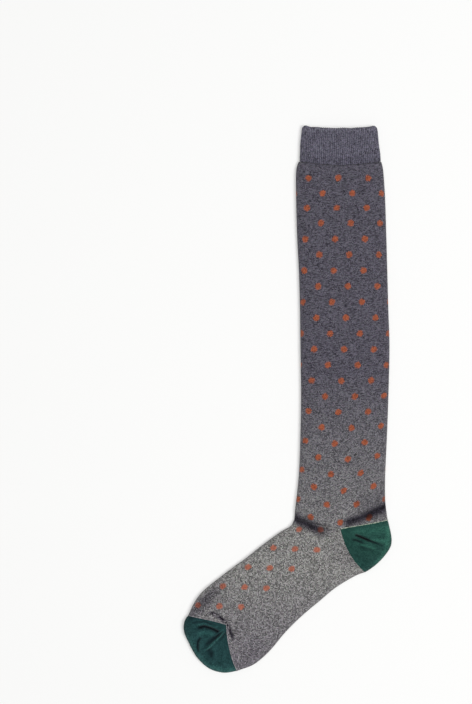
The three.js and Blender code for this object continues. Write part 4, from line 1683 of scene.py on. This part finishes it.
@dataclass(frozen=True)
class SeamStitches:
    """A row of short stitches of yarn that lie side by side along a seam."""

    length: float
    width: float
    pitch: float
    lean: float = 0.0
    seed: int = 3

    def tree(self) -> NodeTree:
        """Builds the geometry nodes, which put a stitch on every point.

        Returns:
            The tree.
        """
        takes = [
            Socket("Geometry", "Geometry"),
            Socket("Length", "Float", 0.001),
            Socket("Width", "Float", 0.0005),
            Socket("Unevenness", "Float", 0.25),
            Socket("Seed", "Int", 3),
            Socket("Finish", "Material"),
        ]
        gives = [Socket("Geometry", "Geometry")]
        tree, g, come, go = group("Seam stitches", "GeometryNodeTree", takes, gives)
        lie = g.node("GeometryNodeInputNamedAttribute", {"Name": "lie"}, data_type="FLOAT_VECTOR").outputs[0]
        yarn = g.node("GeometryNodeMeshUVSphere", {"Segments": 8, "Rings": 6, "Radius": 0.5})
        slim = g.node("GeometryNodeTransform", {"Geometry": yarn.outputs["Mesh"]})
        width, length = come.outputs["Width"], come.outputs["Length"]
        g.feed(slim.inputs["Scale"], g.vector(width, width, length))
        turn = g.node("FunctionNodeAlignRotationToVector", {"Vector": lie}, axis="Z")
        least = g.minus(1.0, come.outputs["Unevenness"])
        most = g.plus(1.0, come.outputs["Unevenness"])
        size = g.node("FunctionNodeRandomValue", {"Seed": come.outputs["Seed"]}, data_type="FLOAT")
        g.feed(size.inputs[2], least)
        g.feed(size.inputs[3], most)
        points = g.node("GeometryNodeMeshToPoints", {"Mesh": come.outputs["Geometry"]})
        placed = g.node("GeometryNodeInstanceOnPoints", {"Points": points.outputs[0]})
        g.feed(placed.inputs["Instance"], slim.outputs[0])
        g.feed(placed.inputs["Rotation"], turn.outputs[0])
        g.feed(placed.inputs["Scale"], size.outputs[1])
        real = g.node("GeometryNodeRealizeInstances", {0: placed.outputs[0]})
        smooth = g.node("GeometryNodeSetShadeSmooth", {0: real.outputs[0]})
        dressed = g.node("GeometryNodeSetMaterial", {"Geometry": smooth.outputs[0]})
        g.feed(dressed.inputs["Material"], come.outputs["Finish"])
        g.feed(go.inputs["Geometry"], dressed.outputs[0])
        return tree

    def sew(self, name: str, path: Array, origin: Array, finish: Material) -> Object:
        """Makes the stitches along a path.

        Args:
            name: the object's name.
            path: points along the seam in millimetres, closely spaced.
            origin: where the plan's zero lies in the row's frame.
            finish: the yarn's material.

        Returns:
            The object.
        """
        count = int(np.linalg.norm(np.diff(path, axis=0), axis=1).sum() / self.pitch)
        points = respace(path[None], count)[0]
        tangents = np.gradient(points, axis=0)
        tangents /= np.linalg.norm(tangents, axis=1)[:, None]
        cos, sin = math.cos(self.lean), math.sin(self.lean)
        x, y, z = tangents.T
        lie = np.stack([x * cos - y * sin, x * sin + y * cos, z * cos], -1)
        mesh = bpy.data.meshes.new(name)
        mesh.from_pydata(((points + origin) * MM).tolist(), [], [])
        mesh.attributes.new("lie", "FLOAT_VECTOR", "POINT").data.foreach_set("vector", lie.ravel())
        values = {"Length": self.length * MM, "Width": self.width * MM, "Seed": self.seed, "Finish": finish}
        return bake_nodes(add_object(name, mesh), self.tree(), values)


class Seam(NamedTuple):
    """A seam: its stitches and yarn, its edge and where on it they start and end, and a slot that is not
    used.

    edge gives plan places from a share along it, and aside is how far from it the stitches lie.
    """

    name: str
    stitches: SeamStitches
    yarn: Material
    edge: Place
    reaches: tuple[float, float]
    aside: tuple[float, float]
    slot: str


@dataclass(frozen=True)
class StitchYarn:
    """The plain yarn of a seam's stitches, with its tone uneven from stitch to stitch."""

    name: str
    dark: Colour
    light: Colour
    tone_scale: float = 700.0
    twist_scale: float = 4000.0
    tone_span: tuple[float, float] = (0.35, 0.65)
    bump: float = 0.6
    relief: float = 0.1

    def make(self) -> Material:
        """Builds the material.

        Returns:
            The material.
        """
        material, g, shader = new_material(self.name, roughness=0.95, specular=0.12)
        place = g.node("ShaderNodeTexCoord").outputs["Object"]
        tone = g.noise(place, self.tone_scale)
        low, high = self.tone_span
        wide = g.node("ShaderNodeMapRange", {0: tone, 1: low, 2: high}).outputs[0]
        g.feed(shader.inputs["Base Color"], g.blend(wide, (*self.dark, 1), (*self.light, 1)))
        twist = g.noise(place, self.twist_scale)
        inputs = {"Height": twist, "Strength": self.bump, "Distance": self.relief * MM}
        g.feed(shader.inputs["Normal"], g.node("ShaderNodeBump", inputs).outputs["Normal"])
        return material


def bake_nodes(made: Object, tree: NodeTree, values: dict) -> Object:
    """Runs a geometry tree on an object and keeps what comes out as its plain mesh.

    Args:
        made: the object.
        tree: the tree.
        values: the tree's inputs by name.

    Returns:
        The same object.
    """
    modifier = made.modifiers.new("nodes", "NODES")
    modifier.node_group = tree
    for item in tree.interface.items_tree:
        if item.in_out == "INPUT" and item.name in values:
            modifier[item.identifier] = values[item.name]
    graph = bpy.context.evaluated_depsgraph_get()
    mesh = bpy.data.meshes.new_from_object(made.evaluated_get(graph))
    made.modifiers.remove(modifier)
    made.data = mesh
    mesh.name = made.name
    return made


@dataclass(frozen=True)
class Lamp:
    """A square soft light: where it stands and the length of its side, in metres, and its watts."""

    name: str
    place: tuple[float, float, float]
    side: float
    power: float

    def light(self, target: tuple[float, float, float]) -> None:
        """Makes the light and turns it to the target.

        Args:
            target: the place that it faces.
        """
        light = bpy.data.lights.new(self.name, "AREA")
        light.size = self.side
        light.energy = self.power
        lamp = add_object(self.name, light)
        lamp.location = self.place
        lamp.rotation_euler = (Vector(target) - Vector(self.place)).to_track_quat("-Z", "Y").to_euler()


@dataclass
class Studio:
    """The floor, the lights and the camera, in metres."""

    lamps: tuple[Lamp, ...] = (
        Lamp("key", (2.5, -0.6, 4.0), 2.0, 108),
        Lamp("top", (-0.35, 0.3, 4.8), 2.2, 146),
    )
    lit_place: tuple[float, float, float] = (-0.05, 0.05, 0)
    world_strength: float = 0.19
    centre: tuple[float, float] = (-0.0541, 0.0496)
    frame_height: float = 0.7392
    focus_level: float = 0.003
    lens: float = 85.0
    sensor: float = 36.0
    floor_reach: float = 30.0
    floor_drop: float = 0.0002
    floor_colour: Colour = (0.84, 0.84, 0.833)

    def floor(self) -> None:
        """Makes the pale floor that the sock lies on."""
        far = self.floor_reach
        mesh = bpy.data.meshes.new("floor")
        mesh.from_pydata([(-far, -far, 0), (far, -far, 0), (far, far, 0), (-far, far, 0)], [], [(0, 1, 2, 3)])
        floor = add_object("floor", mesh)
        floor.location.z = -self.floor_drop
        material, _, shader = new_material("paper", roughness=0.95, specular=0.1)
        shader.inputs["Base Color"].default_value = (*self.floor_colour, 1)
        mesh.materials.append(material)

    def camera(self) -> None:
        """Makes the camera, which looks straight down. Its frame is measured at focus_level."""
        data = bpy.data.cameras.new("camera")
        data.lens = self.lens
        data.sensor_width = self.sensor
        camera = add_object("camera", data)
        away = self.frame_height * self.lens / self.sensor
        camera.location = (*self.centre, away + self.focus_level)
        bpy.context.scene.camera = camera

    def build(self) -> None:
        """Sets up the floor, lights, world and camera."""
        self.floor()
        for lamp in self.lamps:
            lamp.light(self.lit_place)
        world = bpy.data.worlds.new("studio")
        world.use_nodes = True
        world.node_tree.nodes["Background"].inputs["Color"].default_value = (1, 1, 1, 1)
        world.node_tree.nodes["Background"].inputs["Strength"].default_value = self.world_strength
        bpy.context.scene.world = world
        bpy.context.scene.view_settings.view_transform = "Standard"
        self.camera()


def main() -> None:
    """Builds the studio and the sock."""
    logging.basicConfig(level=logging.INFO, format="%(message)s")
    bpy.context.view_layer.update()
    shape = SockShape()
    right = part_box("heel")[1][0] / MM - shape.edge[:, 0].max()
    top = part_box("cuff")[1][1] / MM - shape.edge[:, 1].max()
    origin = np.array([right, top, 0.0])
    Studio().build()
    Sock(shape, Weaver(shape, Gauge()), KnitEffects(), origin).build()


if __name__ == "__main__":
    main()
